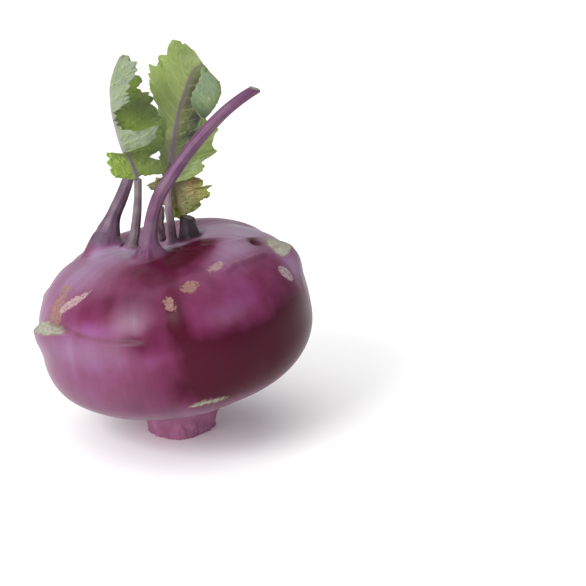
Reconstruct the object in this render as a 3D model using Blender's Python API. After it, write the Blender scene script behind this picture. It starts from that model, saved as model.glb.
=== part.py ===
"""A purple kohlrabi as sold: the swollen stem, its cut leaf stalks and the young leaves left on its crown.

Blender 4.5. Run with: blender --background --python part.py
Sizes are in millimetres and are turned to metres where a mesh is made. +Z is up, the origin is the
middle of the flat cut under the root stub, and the front of the kohlrabi looks along -Y.
"""
import math

import bmesh
import bpy
import numpy as np
from mathutils import Vector

MM = 0.001
GAP = 0.3  # clearance between two pieces that touch

# The swollen stem, a round body flattened more below than above, leaning to the left
BULB_RADIUS = 50.0
BULB_RISE = 35.5
BULB_DROP = 25.7
BULB_TOP_FULLNESS = 2.78  # 2 is an ellipse, more is squarer
BULB_FOOT_FULLNESS = 2.36
BULB_CENTRE_HEIGHT = 38.2
BULB_LEAN = math.radians(10.4)
CROWN_DIP = 4.0
CROWN_DIP_RADIUS = 13.0
MERIDIANS = 64
PARALLELS = 26

# The woody root stub, cut flat where the kohlrabi stands
ROOT_RADII = (12.6, 12.6, 13.4, 16.5, 21.0)
ROOT_HEIGHTS = (0.0, 1.2, 5.5, 10.0, 15.5)
ROOT_SIDES = 24
ROOT_UNEVEN = 0.05

# Leaf scars: azimuth about the stem's own axis (degrees), height above its middle, half-length, ledge
LEAF_SCARS = (
    (-159.0, 14.3, 14.5, 4.2),
    (-8.0, 23.4, 11.0, 4.0),
    (128.0, 18.5, 11.5, 3.2),
    (62.0, 5.0, 12.5, 3.2),
    (-78.0, -11.0, 12.0, 1.6),
    (170.0, -4.0, 12.5, 3.0),
)
SCAR_FACE = 7.0  # from the ledge's rim back to where it meets the stem
SCAR_DEPTH = 12.0  # from the ledge's rim down to where it dies into the stem
SCAR_FULLNESS = 0.65  # under 1 keeps the ledge wide nearly to its ends
SCAR_SECTIONS = 11

# Stalks: (x, y, z, half-width, half-depth) up the middle of each, and the height share where the stem's
# own neck ends and the stalk's node starts
STALK_SIDES = 12
STALKS = {
    "stalk_left": dict(
        split=0.30,
        path=(
            (-26.6, 4.4, 64.5, 9.4, 5.2),
            (-25.7, 5.4, 68.8, 7.4, 4.0),
            (-24.4, 6.6, 73.4, 4.4, 3.1),
            (-22.2, 8.0, 79.7, 2.6, 2.5),
            (-19.8, 9.0, 85.0, 2.4, 2.4),
            (-17.8, 9.8, 90.1, 2.2, 2.2),
            (-15.9, 10.4, 95.6, 1.8, 1.8),
        ),
    ),
    "stalk_left_leaf": dict(
        split=0.22,
        path=(
            (-17.0, 0.2, 65.5, 3.6, 3.2),
            (-16.3, 0.7, 68.4, 2.7, 2.4),
            (-15.4, 1.0, 71.3, 1.8, 1.7),
            (-14.3, 1.0, 76.0, 1.5, 1.5),
            (-13.4, 0.5, 83.2, 1.45, 1.45),
            (-13.0, 0.0, 88.9, 1.4, 1.4),
            (-12.8, -0.4, 94.2, 1.4, 1.4),
        ),
    ),
    "stalk_front": dict(
        split=0.13,
        path=(
            (-8.0, -14.0, 66.5, 7.0, 5.6),
            (-8.0, -14.9, 70.2, 5.9, 4.4),
            (-8.1, -15.0, 73.6, 4.6, 3.5),
            (-8.2, -14.6, 77.2, 3.1, 2.8),
            (-7.8, -14.2, 80.9, 2.6, 2.5),
            (-6.8, -13.8, 86.3, 2.4, 2.4),
            (-4.6, -13.2, 92.6, 2.35, 2.35),
            (-0.7, -12.6, 99.0, 2.3, 2.3),
            (4.9, -11.8, 107.0, 2.2, 2.2),
            (11.9, -11.0, 115.3, 2.15, 2.15),
            (18.9, -10.0, 122.3, 2.0, 2.0),
            (25.6, -9.1, 127.4, 1.85, 1.85),
            (29.4, -8.5, 129.6, 1.7, 1.7),
        ),
    ),
    "stalk_middle_leaf": dict(
        split=0.20,
        path=(
            (-0.9, 1.6, 66.5, 3.4, 3.2),
            (-1.1, 2.0, 69.6, 2.4, 2.3),
            (-1.3, 2.3, 72.9, 1.65, 1.65),
            (-1.8, 2.8, 78.0, 1.5, 1.5),
            (-2.5, 3.6, 83.0, 1.45, 1.45),
            (-2.5, 4.6, 87.9, 1.42, 1.42),
            (-2.1, 5.2, 91.4, 1.42, 1.42),
        ),
    ),
    "stalk_stump": dict(
        split=0.60,
        path=(
            (5.4, -0.8, 67.0, 6.4, 5.0),
            (5.2, -0.6, 71.2, 4.9, 4.2),
            (4.9, -0.3, 75.0, 3.7, 3.5),
            (4.5, 0.2, 78.1, 3.0, 3.0),
            (4.3, 0.6, 80.8, 2.7, 2.7),
        ),
    ),
}
STALK_RING_SPACING = 3.6

# Leaves. The midrib is a route of points, and its stations run from 0 at the foot to 1 at the tip.
# facing: the way the upper side looks, 0 to the front and 90 to the right. Each half has stations
# (place, width, fold towards the upper side, further curl out to the margin, sweep towards the tip).
BLADE_THICKNESS = 0.7
RIB_WIDTH = 1.3
FOLD_REACH = 1.8  # how far from the midrib the fold between the halves is over
LEAVES = {
    "leaf_left": dict(
        midrib=(
            (-12.8, -0.5, 94.9),
            (-14.2, -1.0, 99.2),
            (-16.0, -1.5, 103.7),
            (-17.9, -2.0, 109.2),
            (-19.4, -2.6, 115.2),
            (-20.4, -3.0, 121.4),
            (-20.7, -3.2, 127.8),
            (-19.6, -3.0, 133.7),
            (-17.6, -2.5, 138.9),
        ),
        facing=((0.0, 80.0), (0.3, 88.0), (0.7, 90.0), (1.0, 80.0)),
        left=(
            (0.00, 1.6, -40.0, 0.0, 20.0),
            (0.04, 8.6, -44.0, -14.0, 20.0),
            (0.11, 10.6, -46.0, -16.0, 30.0),
            (0.18, 9.6, -44.0, -12.0, 44.0),
            (0.235, 1.8, 0.0, 0.0, 30.0),
            (0.28, 9.5, 58.0, 10.0, 12.0),
            (0.34, 14.6, 66.0, 14.0, 13.0),
            (0.40, 4.5, 66.0, 0.0, 20.0),
            (0.47, 2.0, 62.0, 0.0, 20.0),
            (0.56, 2.4, 60.0, 0.0, 16.0),
            (0.63, 7.8, 58.0, 12.0, 14.0),
            (0.72, 9.0, 60.0, 12.0, 20.0),
            (0.80, 10.4, 62.0, 10.0, 30.0),
            (0.87, 11.0, 66.0, 10.0, 36.0),
            (0.93, 7.0, 62.0, 5.0, 42.0),
            (0.97, 5.0, 60.0, 5.0, 46.0),
            (1.00, 1.6, 50.0, 0.0, 50.0),
        ),
        right=(
            (0.00, 1.5, 30.0, 0.0, 10.0),
            (0.05, 6.5, 46.0, 10.0, -32.0),
            (0.10, 12.2, 54.0, 16.0, -38.0),
            (0.14, 14.8, 54.0, 16.0, -30.0),
            (0.195, 9.5, 50.0, 16.0, -28.0),
            (0.27, 16.0, 50.0, 16.0, -24.0),
            (0.35, 17.6, 50.0, 16.0, -14.0),
            (0.45, 18.6, 50.0, 14.0, -7.0),
            (0.53, 17.0, 50.0, 10.0, -2.0),
            (0.60, 16.8, 50.0, 8.0, 5.0),
            (0.67, 13.2, 48.0, 6.0, 4.0),
            (0.74, 13.6, 46.0, 6.0, 10.0),
            (0.80, 10.6, 44.0, 6.0, 20.0),
            (0.86, 11.0, 42.0, 4.0, 24.0),
            (0.94, 6.5, 42.0, 0.0, 34.0),
            (1.00, 1.6, 42.0, 0.0, 50.0),
        ),
        rib=((0.0, 1.9), (0.3, 1.3), (0.8, 0.7), (1.0, 0.2)),
        wave=(1.0, 5.5),
        teeth=0.12,
        roll=(0.2, 1.0),
        rows=43,
        columns=7,
    ),
    "leaf_middle": dict(
        midrib=(
            (-2.1, 5.2, 91.7),
            (-1.5, 6.2, 98.1),
            (-0.7, 7.2, 104.9),
            (0.5, 8.4, 111.5),
            (1.9, 9.4, 118.1),
            (3.8, 10.2, 123.7),
            (5.6, 10.8, 128.6),
            (7.8, 11.0, 132.2),
            (10.3, 10.6, 133.9),
        ),
        facing=((0.0, 5.0), (0.5, 0.0), (1.0, 0.0)),
        left=(
            (0.00, 1.6, 0.0, 0.0, 20.0),
            (0.05, 4.0, -20.0, 0.0, 24.0),
            (0.12, 5.6, -36.0, 4.0, 24.0),
            (0.20, 8.8, -36.0, 4.0, 36.0),
            (0.35, 10.6, -34.0, 8.0, 36.0),
            (0.44, 12.4, -30.0, 8.0, 36.0),
            (0.50, 15.4, -26.0, 8.0, 35.0),
            (0.55, 15.6, -26.0, 8.0, 30.0),
            (0.60, 16.8, -26.0, 8.0, 26.0),
            (0.66, 17.8, -24.0, 8.0, 25.0),
            (0.71, 14.4, -24.0, 6.0, 26.0),
            (0.76, 15.8, -24.0, 6.0, 27.0),
            (0.81, 13.0, -22.0, 6.0, 29.0),
            (0.86, 14.6, -20.0, 4.0, 31.0),
            (0.91, 12.0, -18.0, 4.0, 26.0),
            (0.96, 6.5, -16.0, 0.0, 10.0),
            (1.00, 1.6, -10.0, 0.0, 0.0),
        ),
        right=(
            (0.00, 1.8, 10.0, 0.0, 10.0),
            (0.03, 9.6, 14.0, 12.0, 14.0),
            (0.08, 13.2, 12.0, 12.0, 15.0),
            (0.105, 12.2, 10.0, 12.0, 18.0),
            (0.14, 16.4, 8.0, 14.0, 20.0),
            (0.18, 17.8, 8.0, 16.0, 22.0),
            (0.215, 16.6, 8.0, 20.0, 26.0),
            (0.26, 19.6, 6.0, 30.0, 30.0),
            (0.33, 17.0, 0.0, 60.0, 30.0),
            (0.42, 17.6, 0.0, 110.0, 26.0),
            (0.49, 21.5, 0.0, 170.0, 24.0),
            (0.58, 24.0, 0.0, 188.0, 20.0),
            (0.70, 24.0, 0.0, 192.0, 20.0),
            (0.80, 20.5, 0.0, 192.0, 20.0),
            (0.89, 13.5, 0.0, 188.0, 20.0),
            (0.95, 7.0, 0.0, 150.0, 20.0),
            (1.00, 1.6, 0.0, 40.0, 10.0),
        ),
        rib=((0.0, 1.9), (0.3, 1.4), (0.8, 0.8), (1.0, 0.2)),
        wave=(0.8, 5.0),
        teeth=0.08,
        roll=(0.42, 0.72),
        rows=43,
        columns=10,
    ),
    "leaf_small": dict(
        midrib=(
            (0.2, 9.0, 96.0),
            (0.1, 8.8, 92.0),
            (0.4, 8.2, 87.8),
            (1.5, 7.2, 83.6),
            (3.8, 6.2, 80.4),
        ),
        facing=((0.0, 0.0), (1.0, 0.0)),
        left=(
            (0.00, 2.0, 0.0, 10.0, 0.0),
            (0.20, 7.0, 0.0, 20.0, -5.0),
            (0.36, 8.5, 0.0, 24.0, -5.0),
            (0.52, 12.4, 0.0, 28.0, -5.0),
            (0.68, 11.4, 0.0, 28.0, 5.0),
            (0.84, 8.5, 0.0, 24.0, 15.0),
            (0.94, 5.5, 0.0, 16.0, 25.0),
            (1.00, 2.0, 0.0, 10.0, 30.0),
        ),
        right=(
            (0.00, 2.0, 0.0, 0.0, 0.0),
            (0.20, 4.5, -10.0, -10.0, 0.0),
            (0.36, 8.8, -14.0, -20.0, 0.0),
            (0.55, 8.0, -14.0, -20.0, 10.0),
            (0.78, 4.5, -10.0, -10.0, 15.0),
            (1.00, 2.0, 0.0, 0.0, 30.0),
        ),
        rib=((0.0, 0.5), (1.0, 0.2)),
        wave=(1.1, 3.0),
        teeth=0.14,
        roll=(0.2, 1.0),
        rows=23,
        columns=6,
    ),
}
ROLLED_OVER = math.radians(150.0)  # a margin curled this far has neither teeth nor waves

# The dried young leaf folded in the middle of the crown
CROWN_BUD = (
    (-4.7, -2.6, 74.4, 1.2, 1.0),
    (-4.9, -2.8, 77.5, 1.5, 1.1),
    (-4.7, -2.4, 81.5, 1.1, 0.8),
    (-4.4, -2.0, 85.5, 0.7, 0.6),
)


def through(knots, values, places):
    """A smooth curve through values at knots, read at places, with no overshoot between them."""
    knots = np.asarray(knots, dtype=float)
    values = np.asarray(values, dtype=float)
    places = np.clip(places, knots[0], knots[-1])
    steps = np.diff(knots)
    slopes = np.diff(values) / steps
    tangents = np.empty_like(values)
    tangents[0], tangents[-1] = slopes[0], slopes[-1]
    before, after = slopes[:-1], slopes[1:]
    same_way = before * after > 0.0
    joined = np.where(same_way, before + after, 1.0)
    tangents[1:-1] = np.where(same_way, 2.0 * before * after / joined, 0.0)
    index = np.clip(np.searchsorted(knots, places, side="right") - 1, 0, len(steps) - 1)
    width = steps[index]
    share = (places - knots[index]) / width
    rise = 3.0 * share**2 - 2.0 * share**3
    lift = share - 2.0 * share**2 + share**3
    drop = share**3 - share**2
    return (
        values[index] * (1.0 - rise)
        + values[index + 1] * rise
        + tangents[index] * width * lift
        + tangents[index + 1] * width * drop
    )


def column(rows, index, places):
    """One column of a table of stations, read smoothly at places."""
    return through([row[0] for row in rows], [row[index] for row in rows], places)


def route(points, places):
    """Points on the smooth curve through the given ones, at shares of its chord length from 0 to 1."""
    points = np.asarray(points, dtype=float)
    chords = np.linalg.norm(np.diff(points[:, :3], axis=0), axis=1)
    knots = np.concatenate(([0.0], np.cumsum(chords))) / chords.sum()
    return np.stack([through(knots, points[:, axis], places) for axis in range(points.shape[1])], axis=1)


def unit(vectors):
    """Vectors at length one."""
    return vectors / np.linalg.norm(vectors, axis=-1, keepdims=True)


def frames(curve):
    """Along a curve: its direction, the way across it to the right, and the way to its front."""
    ahead = unit(np.gradient(curve, axis=0))
    front = np.array([0.0, -1.0, 0.0]) - ahead * (ahead @ np.array([0.0, -1.0, 0.0]))[:, None]
    front = unit(front)
    return ahead, np.cross(ahead, front), front


def material(name, colour, roughness):
    """A Principled material of one colour."""
    made = bpy.data.materials.new(name)
    made.use_nodes = True
    shader = made.node_tree.nodes["Principled BSDF"]
    shader.inputs["Base Color"].default_value = (*colour, 1.0)
    shader.inputs["Roughness"].default_value = roughness
    shader.inputs["Metallic"].default_value = 0.0
    return made


def add_object(name, points, faces, finish=None):
    """An object from points in millimetres, its faces turned outwards and shaded smooth."""
    mesh = bpy.data.meshes.new(name)
    mesh.from_pydata([Vector(point) * MM for point in points], [], faces)
    sheet = bmesh.new()
    sheet.from_mesh(mesh)
    bmesh.ops.recalc_face_normals(sheet, faces=sheet.faces)
    if sheet.calc_volume(signed=True) < 0.0:
        bmesh.ops.reverse_faces(sheet, faces=sheet.faces)
    sheet.to_mesh(mesh)
    sheet.free()
    mesh.shade_smooth()
    mesh.set_sharp_from_angle(angle=math.radians(40.0))
    if finish:
        mesh.materials.append(finish)
    made = bpy.data.objects.new(name, mesh)
    bpy.context.collection.objects.link(made)
    return made


def ring_faces(rings, sides):
    """Quads between rings that follow each other, and a cap on the first and the last."""
    faces = [tuple(range(sides)), tuple(range((rings - 1) * sides, rings * sides))]
    for ring in range(rings - 1):
        for side in range(sides):
            nearby = (side + 1) % sides
            low, high = ring * sides, (ring + 1) * sides
            faces.append((low + side, low + nearby, high + nearby, high + side))
    return faces


def stalk_points(path, start, end, sides):
    """Rings of an oval tube along part of a path of (x, y, z, half-width, half-depth)."""
    length = np.linalg.norm(np.diff(np.asarray(path)[:, :3], axis=0), axis=1).sum()
    count = max(3, int(round(length * (end - start) / STALK_RING_SPACING)) + 1)
    places = np.linspace(start, end, count)
    stations = route(path, places)
    _, right, front = frames(route(path, np.linspace(0.0, 1.0, 200))[:, :3])
    index = np.round(places * 199).astype(int)
    rings = []
    for station, across, forward in zip(stations, right[index], front[index]):
        for side in range(sides):
            turn = 2.0 * math.pi * (side + 0.5) / sides
            offset = across * station[3] * math.cos(turn) + forward * station[4] * math.sin(turn)
            rings.append(station[:3] + offset)
    return rings, count


def add_stalk(name, path, start, end, finish=None):
    """A stalk, or the stem's own neck under it."""
    points, count = stalk_points(path, start, end, STALK_SIDES)
    return add_object(name, points, ring_faces(count, STALK_SIDES), finish)


def bulb_radius(height_angle):
    """Distance from the stem's axis and height above its middle, at an angle of latitude."""
    rising = math.sin(height_angle) >= 0.0
    fullness = BULB_TOP_FULLNESS if rising else BULB_FOOT_FULLNESS
    reach = BULB_RISE if rising else -BULB_DROP
    radius = BULB_RADIUS * abs(math.cos(height_angle)) ** (2.0 / fullness)
    height = reach * abs(math.sin(height_angle)) ** (2.0 / fullness)
    if rising:
        height -= CROWN_DIP * math.exp(-((radius / CROWN_DIP_RADIUS) ** 2))
    return radius, height


def bulb_radius_at(height):
    """Distance of the stem's surface from its axis at a height above its middle."""
    reach, fullness = (BULB_RISE, BULB_TOP_FULLNESS) if height > 0.0 else (BULB_DROP, BULB_FOOT_FULLNESS)
    return BULB_RADIUS * (1.0 - abs(height / reach) ** fullness) ** (1.0 / fullness)


def placed_on_stem(radius, azimuth, height):
    """A place given about the stem's own leaning axis."""
    across = radius * math.cos(azimuth)
    return (
        across * math.cos(BULB_LEAN) - height * math.sin(BULB_LEAN),
        radius * math.sin(azimuth),
        across * math.sin(BULB_LEAN) + height * math.cos(BULB_LEAN) + BULB_CENTRE_HEIGHT,
    )


def add_stem_body(finish):
    """The round body of the swollen stem, closed at both poles."""
    points = []
    for row in range(1, PARALLELS):
        angle = math.pi * (row / PARALLELS - 0.5)
        radius, height = bulb_radius(angle)
        for side in range(MERIDIANS):
            points.append(placed_on_stem(radius, 2.0 * math.pi * side / MERIDIANS, height))
    faces = ring_faces(PARALLELS - 1, MERIDIANS)[2:]
    bottom, top = len(points), len(points) + 1
    points.append(placed_on_stem(0.0, 0.0, -BULB_DROP))
    points.append(placed_on_stem(0.0, 0.0, BULB_RISE - CROWN_DIP))
    last = (PARALLELS - 2) * MERIDIANS
    for side in range(MERIDIANS):
        nearby = (side + 1) % MERIDIANS
        faces.append((bottom, nearby, side))
        faces.append((top, last + side, last + nearby))
    return add_object("bulb", points, faces, finish)


def add_root():
    """The root stub, which runs up into the stem."""
    points = []
    for radius, height in zip(ROOT_RADII, ROOT_HEIGHTS):
        for side in range(ROOT_SIDES):
            turn = 2.0 * math.pi * side / ROOT_SIDES
            uneven = 1.0 + ROOT_UNEVEN * (math.sin(3.0 * turn + 0.6) + 0.6 * math.sin(5.0 * turn + 2.0))
            points.append((radius * uneven * math.cos(turn), radius * uneven * math.sin(turn), height))
    return add_object("root", points, ring_faces(len(ROOT_RADII), ROOT_SIDES))


def add_leaf_scar(azimuth, height, half_length, ledge):
    """The ledge that a fallen leaf leaves: a corky oval face that looks up, over a swelling."""
    radius = bulb_radius_at(height)
    points = []
    for section in range(SCAR_SECTIONS):
        along = 2.0 * section / (SCAR_SECTIONS - 1) - 1.0
        turn = math.radians(azimuth) + along * half_length / radius
        share = max(math.cos(along * math.pi / 2.0), 0.0) ** SCAR_FULLNESS
        face = SCAR_FACE * share
        points.append(placed_on_stem(radius + ledge * share - 0.6 * (1.0 - share), turn, height))
        back = height + 0.6 * face + 0.2
        points.append(placed_on_stem(bulb_radius_at(back) - 1.0, turn, back))
        low = height - 1.0 - SCAR_DEPTH * share
        points.append(placed_on_stem(bulb_radius_at(low) - 0.8, turn, low))
    return add_object("leaf_scar", points, ring_faces(SCAR_SECTIONS, 3))


def join(target, pieces):
    """Fuse pieces into the target and remove them."""
    group = bpy.data.collections.new("pieces")
    bpy.context.scene.collection.children.link(group)
    for piece in pieces:
        bpy.context.collection.objects.unlink(piece)
        group.objects.link(piece)
    union = target.modifiers.new("union", "BOOLEAN")
    union.operation = "UNION"
    union.operand_type = "COLLECTION"
    union.collection = group
    bpy.context.view_layer.objects.active = target
    bpy.ops.object.modifier_apply(modifier=union.name)
    for piece in pieces:
        bpy.data.objects.remove(piece)
    bpy.data.collections.remove(group)
    while len(target.data.materials) > 1:
        target.data.materials.pop()
    target.data.shade_smooth()
    target.data.set_sharp_from_angle(angle=math.radians(40.0))


def half_blade(leaf, side, places, middle, ahead, right, facing):
    """One half of a blade as rows of points from the midrib out, with each point's distance along it.

    side is 1 for the right half and -1 for the left one, seen with the upper side in front.
    """
    stations = leaf["right"] if side > 0 else leaf["left"]
    width, fold, curl, sweep = (column(stations, index, places) for index in range(1, 5))
    fold, curl, sweep = np.radians(fold), np.radians(curl), np.radians(sweep)
    rows = np.arange(len(places))
    open_margin = np.clip(1.0 - np.abs(curl) / ROLLED_OVER, 0.0, 1.0)
    uneven = 1.0 + 0.5 * np.sin(2.3 * rows + side)
    toothed = width * (1.0 - leaf["teeth"] * open_margin * uneven * (rows % 2))
    toothed[[0, -1]] = width[[0, -1]]
    shares = np.linspace(0.0, 1.0, 25)
    out = toothed[:, None] * shares
    turned = np.clip(out / FOLD_REACH, 0.0, 1.0)
    turned = turned * turned * (3.0 - 2.0 * turned)
    first_roll, last_roll = leaf["roll"]
    rolled = np.clip((out / width[:, None] - first_roll) / (last_roll - first_roll), 0.0, 1.0)
    rolled = rolled * rolled * (3.0 - 2.0 * rolled)
    angle = fold[:, None] * turned + curl[:, None] * rolled
    step = toothed[:, None] / (len(shares) - 1)
    level = np.cumsum(np.cos(angle), axis=1) - 0.5 * (np.cos(angle) + np.cos(angle[:, :1]))
    raised = np.cumsum(np.sin(angle), axis=1) - 0.5 * (np.sin(angle) + np.sin(angle[:, :1]))
    size, count = leaf["wave"]
    ripple = size * open_margin[:, None] * (out / np.maximum(width[:, None], 6.0)) ** 2
    ripple = ripple * np.sin(2.0 * math.pi * count * places + side)[:, None]
    level = level * step - ripple * np.sin(angle)
    raised = raised * step + ripple * np.cos(angle)
    sheet = (
        middle[:, None, :]
        + (side * level * np.cos(sweep)[:, None])[:, :, None] * right[:, None, :]
        + (raised * np.cos(sweep)[:, None])[:, :, None] * facing[:, None, :]
        + (out * np.sin(sweep)[:, None])[:, :, None] * ahead[:, None, :]
    )
    first = np.clip(FOLD_REACH * 0.5 / toothed, 0.0, 0.5)
    picks = [np.zeros(len(places)), first]
    for place in range(1, leaf["columns"]):
        picks.append(first + (1.0 - first) * place / (leaf["columns"] - 1))
    picks = np.stack(picks, axis=1) * (len(shares) - 1)
    lower = np.minimum(picks.astype(int), len(shares) - 2)
    part = (picks - lower)[:, :, None]
    each = np.arange(len(places))[:, None]
    return sheet[each, lower] * (1.0 - part) + sheet[each, lower + 1] * part


def blade_sheet(leaf):
    """The middle surface of a blade as rows across it, and the way each point's upper side looks."""
    places = np.linspace(0.0, 1.0, leaf["rows"])
    middle = route(leaf["midrib"], places)
    ahead, right, front = frames(middle)
    turn = np.radians(column(leaf["facing"], 1, places))[:, None]
    facing = np.cos(turn) * front + np.sin(turn) * right
    across = np.cos(turn) * right - np.sin(turn) * front
    left_half = half_blade(leaf, -1, places, middle, ahead, across, facing)
    right_half = half_blade(leaf, 1, places, middle, ahead, across, facing)
    sheet = np.concatenate((left_half[:, :0:-1], right_half), axis=1)
    along = np.gradient(sheet, axis=0)
    outward = np.gradient(sheet, axis=1)
    upper = unit(np.cross(outward, along))
    return sheet, upper, places


def add_leaf(name, leaf, finish):
    """A leaf blade with its thickness and the rib on its underside."""
    sheet, upper, places = blade_sheet(leaf)
    rows, columns = sheet.shape[:2]
    middle = columns // 2
    distance = np.linalg.norm(sheet - sheet[:, middle : middle + 1], axis=2)
    rib = column(leaf["rib"], 1, places)[:, None] * np.exp(-((distance / RIB_WIDTH) ** 2))
    top = sheet + upper * (BLADE_THICKNESS / 2.0)
    under = sheet - upper * (BLADE_THICKNESS / 2.0 + rib)[:, :, None]
    points = np.concatenate((top.reshape(-1, 3), under.reshape(-1, 3)))
    below = rows * columns
    faces = []
    for row in range(rows - 1):
        for place in range(columns - 1):
            here = row * columns + place
            corners = (here, here + 1, here + columns + 1, here + columns)
            for first, second, third in ((0, 1, 2), (0, 2, 3)):
                faces.append((corners[first], corners[second], corners[third]))
                faces.append((corners[first] + below, corners[third] + below, corners[second] + below))
    rim = [place for place in range(columns)]
    rim += [row * columns + columns - 1 for row in range(1, rows)]
    rim += [(rows - 1) * columns + place for place in range(columns - 2, -1, -1)]
    rim += [row * columns for row in range(rows - 2, 0, -1)]
    for here, nearby in zip(rim, rim[1:] + rim[:1]):
        faces.append((nearby, here, here + below))
        faces.append((nearby, here + below, nearby + below))
    return add_object(name, points, faces, finish)


def main():
    for old in list(bpy.data.objects):
        bpy.data.objects.remove(old)
    skin = material("waxy_purple_skin", (0.17, 0.045, 0.11), 0.35)
    stalk_skin = material("stalk_skin", (0.19, 0.09, 0.16), 0.45)
    blade = material("leaf_green", (0.27, 0.34, 0.13), 0.55)
    yellowing = material("yellowing_leaf", (0.30, 0.27, 0.09), 0.6)
    dried = material("dried_leaf", (0.33, 0.26, 0.19), 0.8)

    bulb = add_stem_body(skin)
    grown = [add_root()]
    for azimuth, height, half_length, ledge in LEAF_SCARS:
        grown.append(add_leaf_scar(azimuth, height, half_length, ledge))
    for name, stalk in STALKS.items():
        path, split = stalk["path"], stalk["split"]
        length = np.linalg.norm(np.diff(np.asarray(path)[:, :3], axis=0), axis=1).sum()
        grown.append(add_stalk("neck", path, 0.0, split))
        add_stalk(name, path, split + GAP / length, 1.0, stalk_skin)
    join(bulb, grown)

    for name, leaf in LEAVES.items():
        add_leaf(name, leaf, yellowing if name == "leaf_small" else blade)
    points, count = stalk_points(CROWN_BUD, 0.0, 1.0, 8)
    add_object("crown_bud", points, ring_faces(count, 8), dried)


main()
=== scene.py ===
"""The looks of a purple kohlrabi: waxy skin, corky leaf scars, ribbed stalks and young leaves.

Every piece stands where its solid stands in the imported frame. Lengths in the classes are in
millimetres and become metres where a mesh gets its points. +Z is up and the front looks along -Y.
"""
from __future__ import annotations

import logging
import math
from contextlib import contextmanager
from dataclasses import dataclass
from enum import Enum
from typing import Iterator, Sequence

import bpy
import numpy as np
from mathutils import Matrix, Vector

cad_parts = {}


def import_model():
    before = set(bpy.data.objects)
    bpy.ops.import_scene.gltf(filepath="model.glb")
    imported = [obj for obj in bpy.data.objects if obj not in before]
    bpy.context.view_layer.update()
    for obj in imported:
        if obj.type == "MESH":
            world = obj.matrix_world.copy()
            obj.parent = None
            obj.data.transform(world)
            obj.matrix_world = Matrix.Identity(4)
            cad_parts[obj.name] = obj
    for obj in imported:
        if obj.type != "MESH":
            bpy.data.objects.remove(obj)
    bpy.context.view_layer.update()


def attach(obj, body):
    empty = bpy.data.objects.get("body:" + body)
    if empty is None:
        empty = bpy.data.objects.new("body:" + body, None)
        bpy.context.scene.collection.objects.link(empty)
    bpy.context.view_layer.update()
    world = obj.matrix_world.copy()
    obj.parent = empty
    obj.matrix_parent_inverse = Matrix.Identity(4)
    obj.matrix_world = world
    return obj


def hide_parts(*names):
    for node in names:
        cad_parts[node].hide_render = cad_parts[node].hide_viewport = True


MM = 0.001
LOG = logging.getLogger("kohlrabi")
TURN = 2.0 * math.pi
WELD_REACH = 0.002
SHARP_EDGE = math.radians(52.0)
PATH_STEPS = 400
Array = np.ndarray
Table = Sequence[Sequence[float]]


# ---------------------------------------------------------------- curves and small helpers


def through(knots: Sequence[float], values: Sequence[float], places: Array) -> Array:
    """Reads a smooth curve through points, with no overshoot between them.

    Args:
        knots: rising places of the points.
        values: the curve's value at each of them.
        places: where to read it.

    Returns:
        The values at places.
    """
    knots, values = np.asarray(knots, dtype=float), np.asarray(values, dtype=float)
    places = np.clip(places, knots[0], knots[-1])
    steps = np.diff(knots)
    slopes = np.diff(values) / steps
    before, after = slopes[:-1], slopes[1:]
    same_way = before * after > 0.0
    joined = np.where(same_way, before + after, 1.0)
    between = np.where(same_way, 2.0 * before * after / joined, 0.0)
    tangents = np.concatenate((slopes[:1], between, slopes[-1:]))
    index = np.clip(np.searchsorted(knots, places, side="right") - 1, 0, len(steps) - 1)
    width = steps[index]
    share = (places - knots[index]) / width
    rise = 3.0 * share**2 - 2.0 * share**3
    lift = width * (share - 2.0 * share**2 + share**3)
    drop = width * (share**3 - share**2)
    start, end = values[index], values[index + 1]
    return start * (1.0 - rise) + end * rise + tangents[index] * lift + tangents[index + 1] * drop


def column(table: Table, index: int, places: Array) -> Array:
    """One column of a table of stations, read smoothly at places."""
    return through([row[0] for row in table], [row[index] for row in table], places)


def chords(points: Table) -> Array:
    """The lengths of the straight steps of a route, in millimetres."""
    return np.linalg.norm(np.diff(np.asarray(points, dtype=float)[:, :3], axis=0), axis=1)


def route(points: Table, places: Array) -> Array:
    """Rows of numbers on the smooth curve through the given ones, at shares of its length."""
    knots = np.concatenate(([0.0], np.cumsum(chords(points)))) / chords(points).sum()
    return np.stack([through(knots, values, places) for values in np.transpose(points)], 1)


def unit(vectors: Array) -> Array:
    """Vectors at length one."""
    return vectors / np.maximum(np.linalg.norm(vectors, axis=-1, keepdims=True), 1e-12)


def frames(curve: Array) -> tuple[Array, Array, Array]:
    """The directions that turn along with a curve.

    Args:
        curve: its points in order.

    Returns:
        For each point, the way ahead, the way to the right and the way to the front.
    """
    ahead = unit(np.gradient(curve, axis=0))
    to_viewer = np.array([0.0, -1.0, 0.0])
    front = unit(to_viewer - ahead * (ahead @ to_viewer)[:, None])
    return ahead, np.cross(ahead, front), front


def ease(share: Array) -> Array:
    """A smooth step from 0 to 1 as share goes from 0 to 1."""
    share = np.clip(share, 0.0, 1.0)
    return share * share * (3.0 - 2.0 * share)


def bell(away: Array) -> Array:
    """A soft hump that is 1 where away is 0, and about a third where it is 1."""
    return np.exp(-(away**2))


def turn_from(turn: Array, azimuth: float) -> Array:
    """How far in radians a turn is past an azimuth in degrees, by the shorter way."""
    return np.angle(np.exp(1j * (turn - math.radians(azimuth))))


def wrapped(turn: Array, radius: Array | float, along: Array) -> Array:
    """Points round an axis, which also carry a pattern round a piece with no seam."""
    return np.stack((np.cos(turn) * radius, np.sin(turn) * radius, along), 1)


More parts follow.
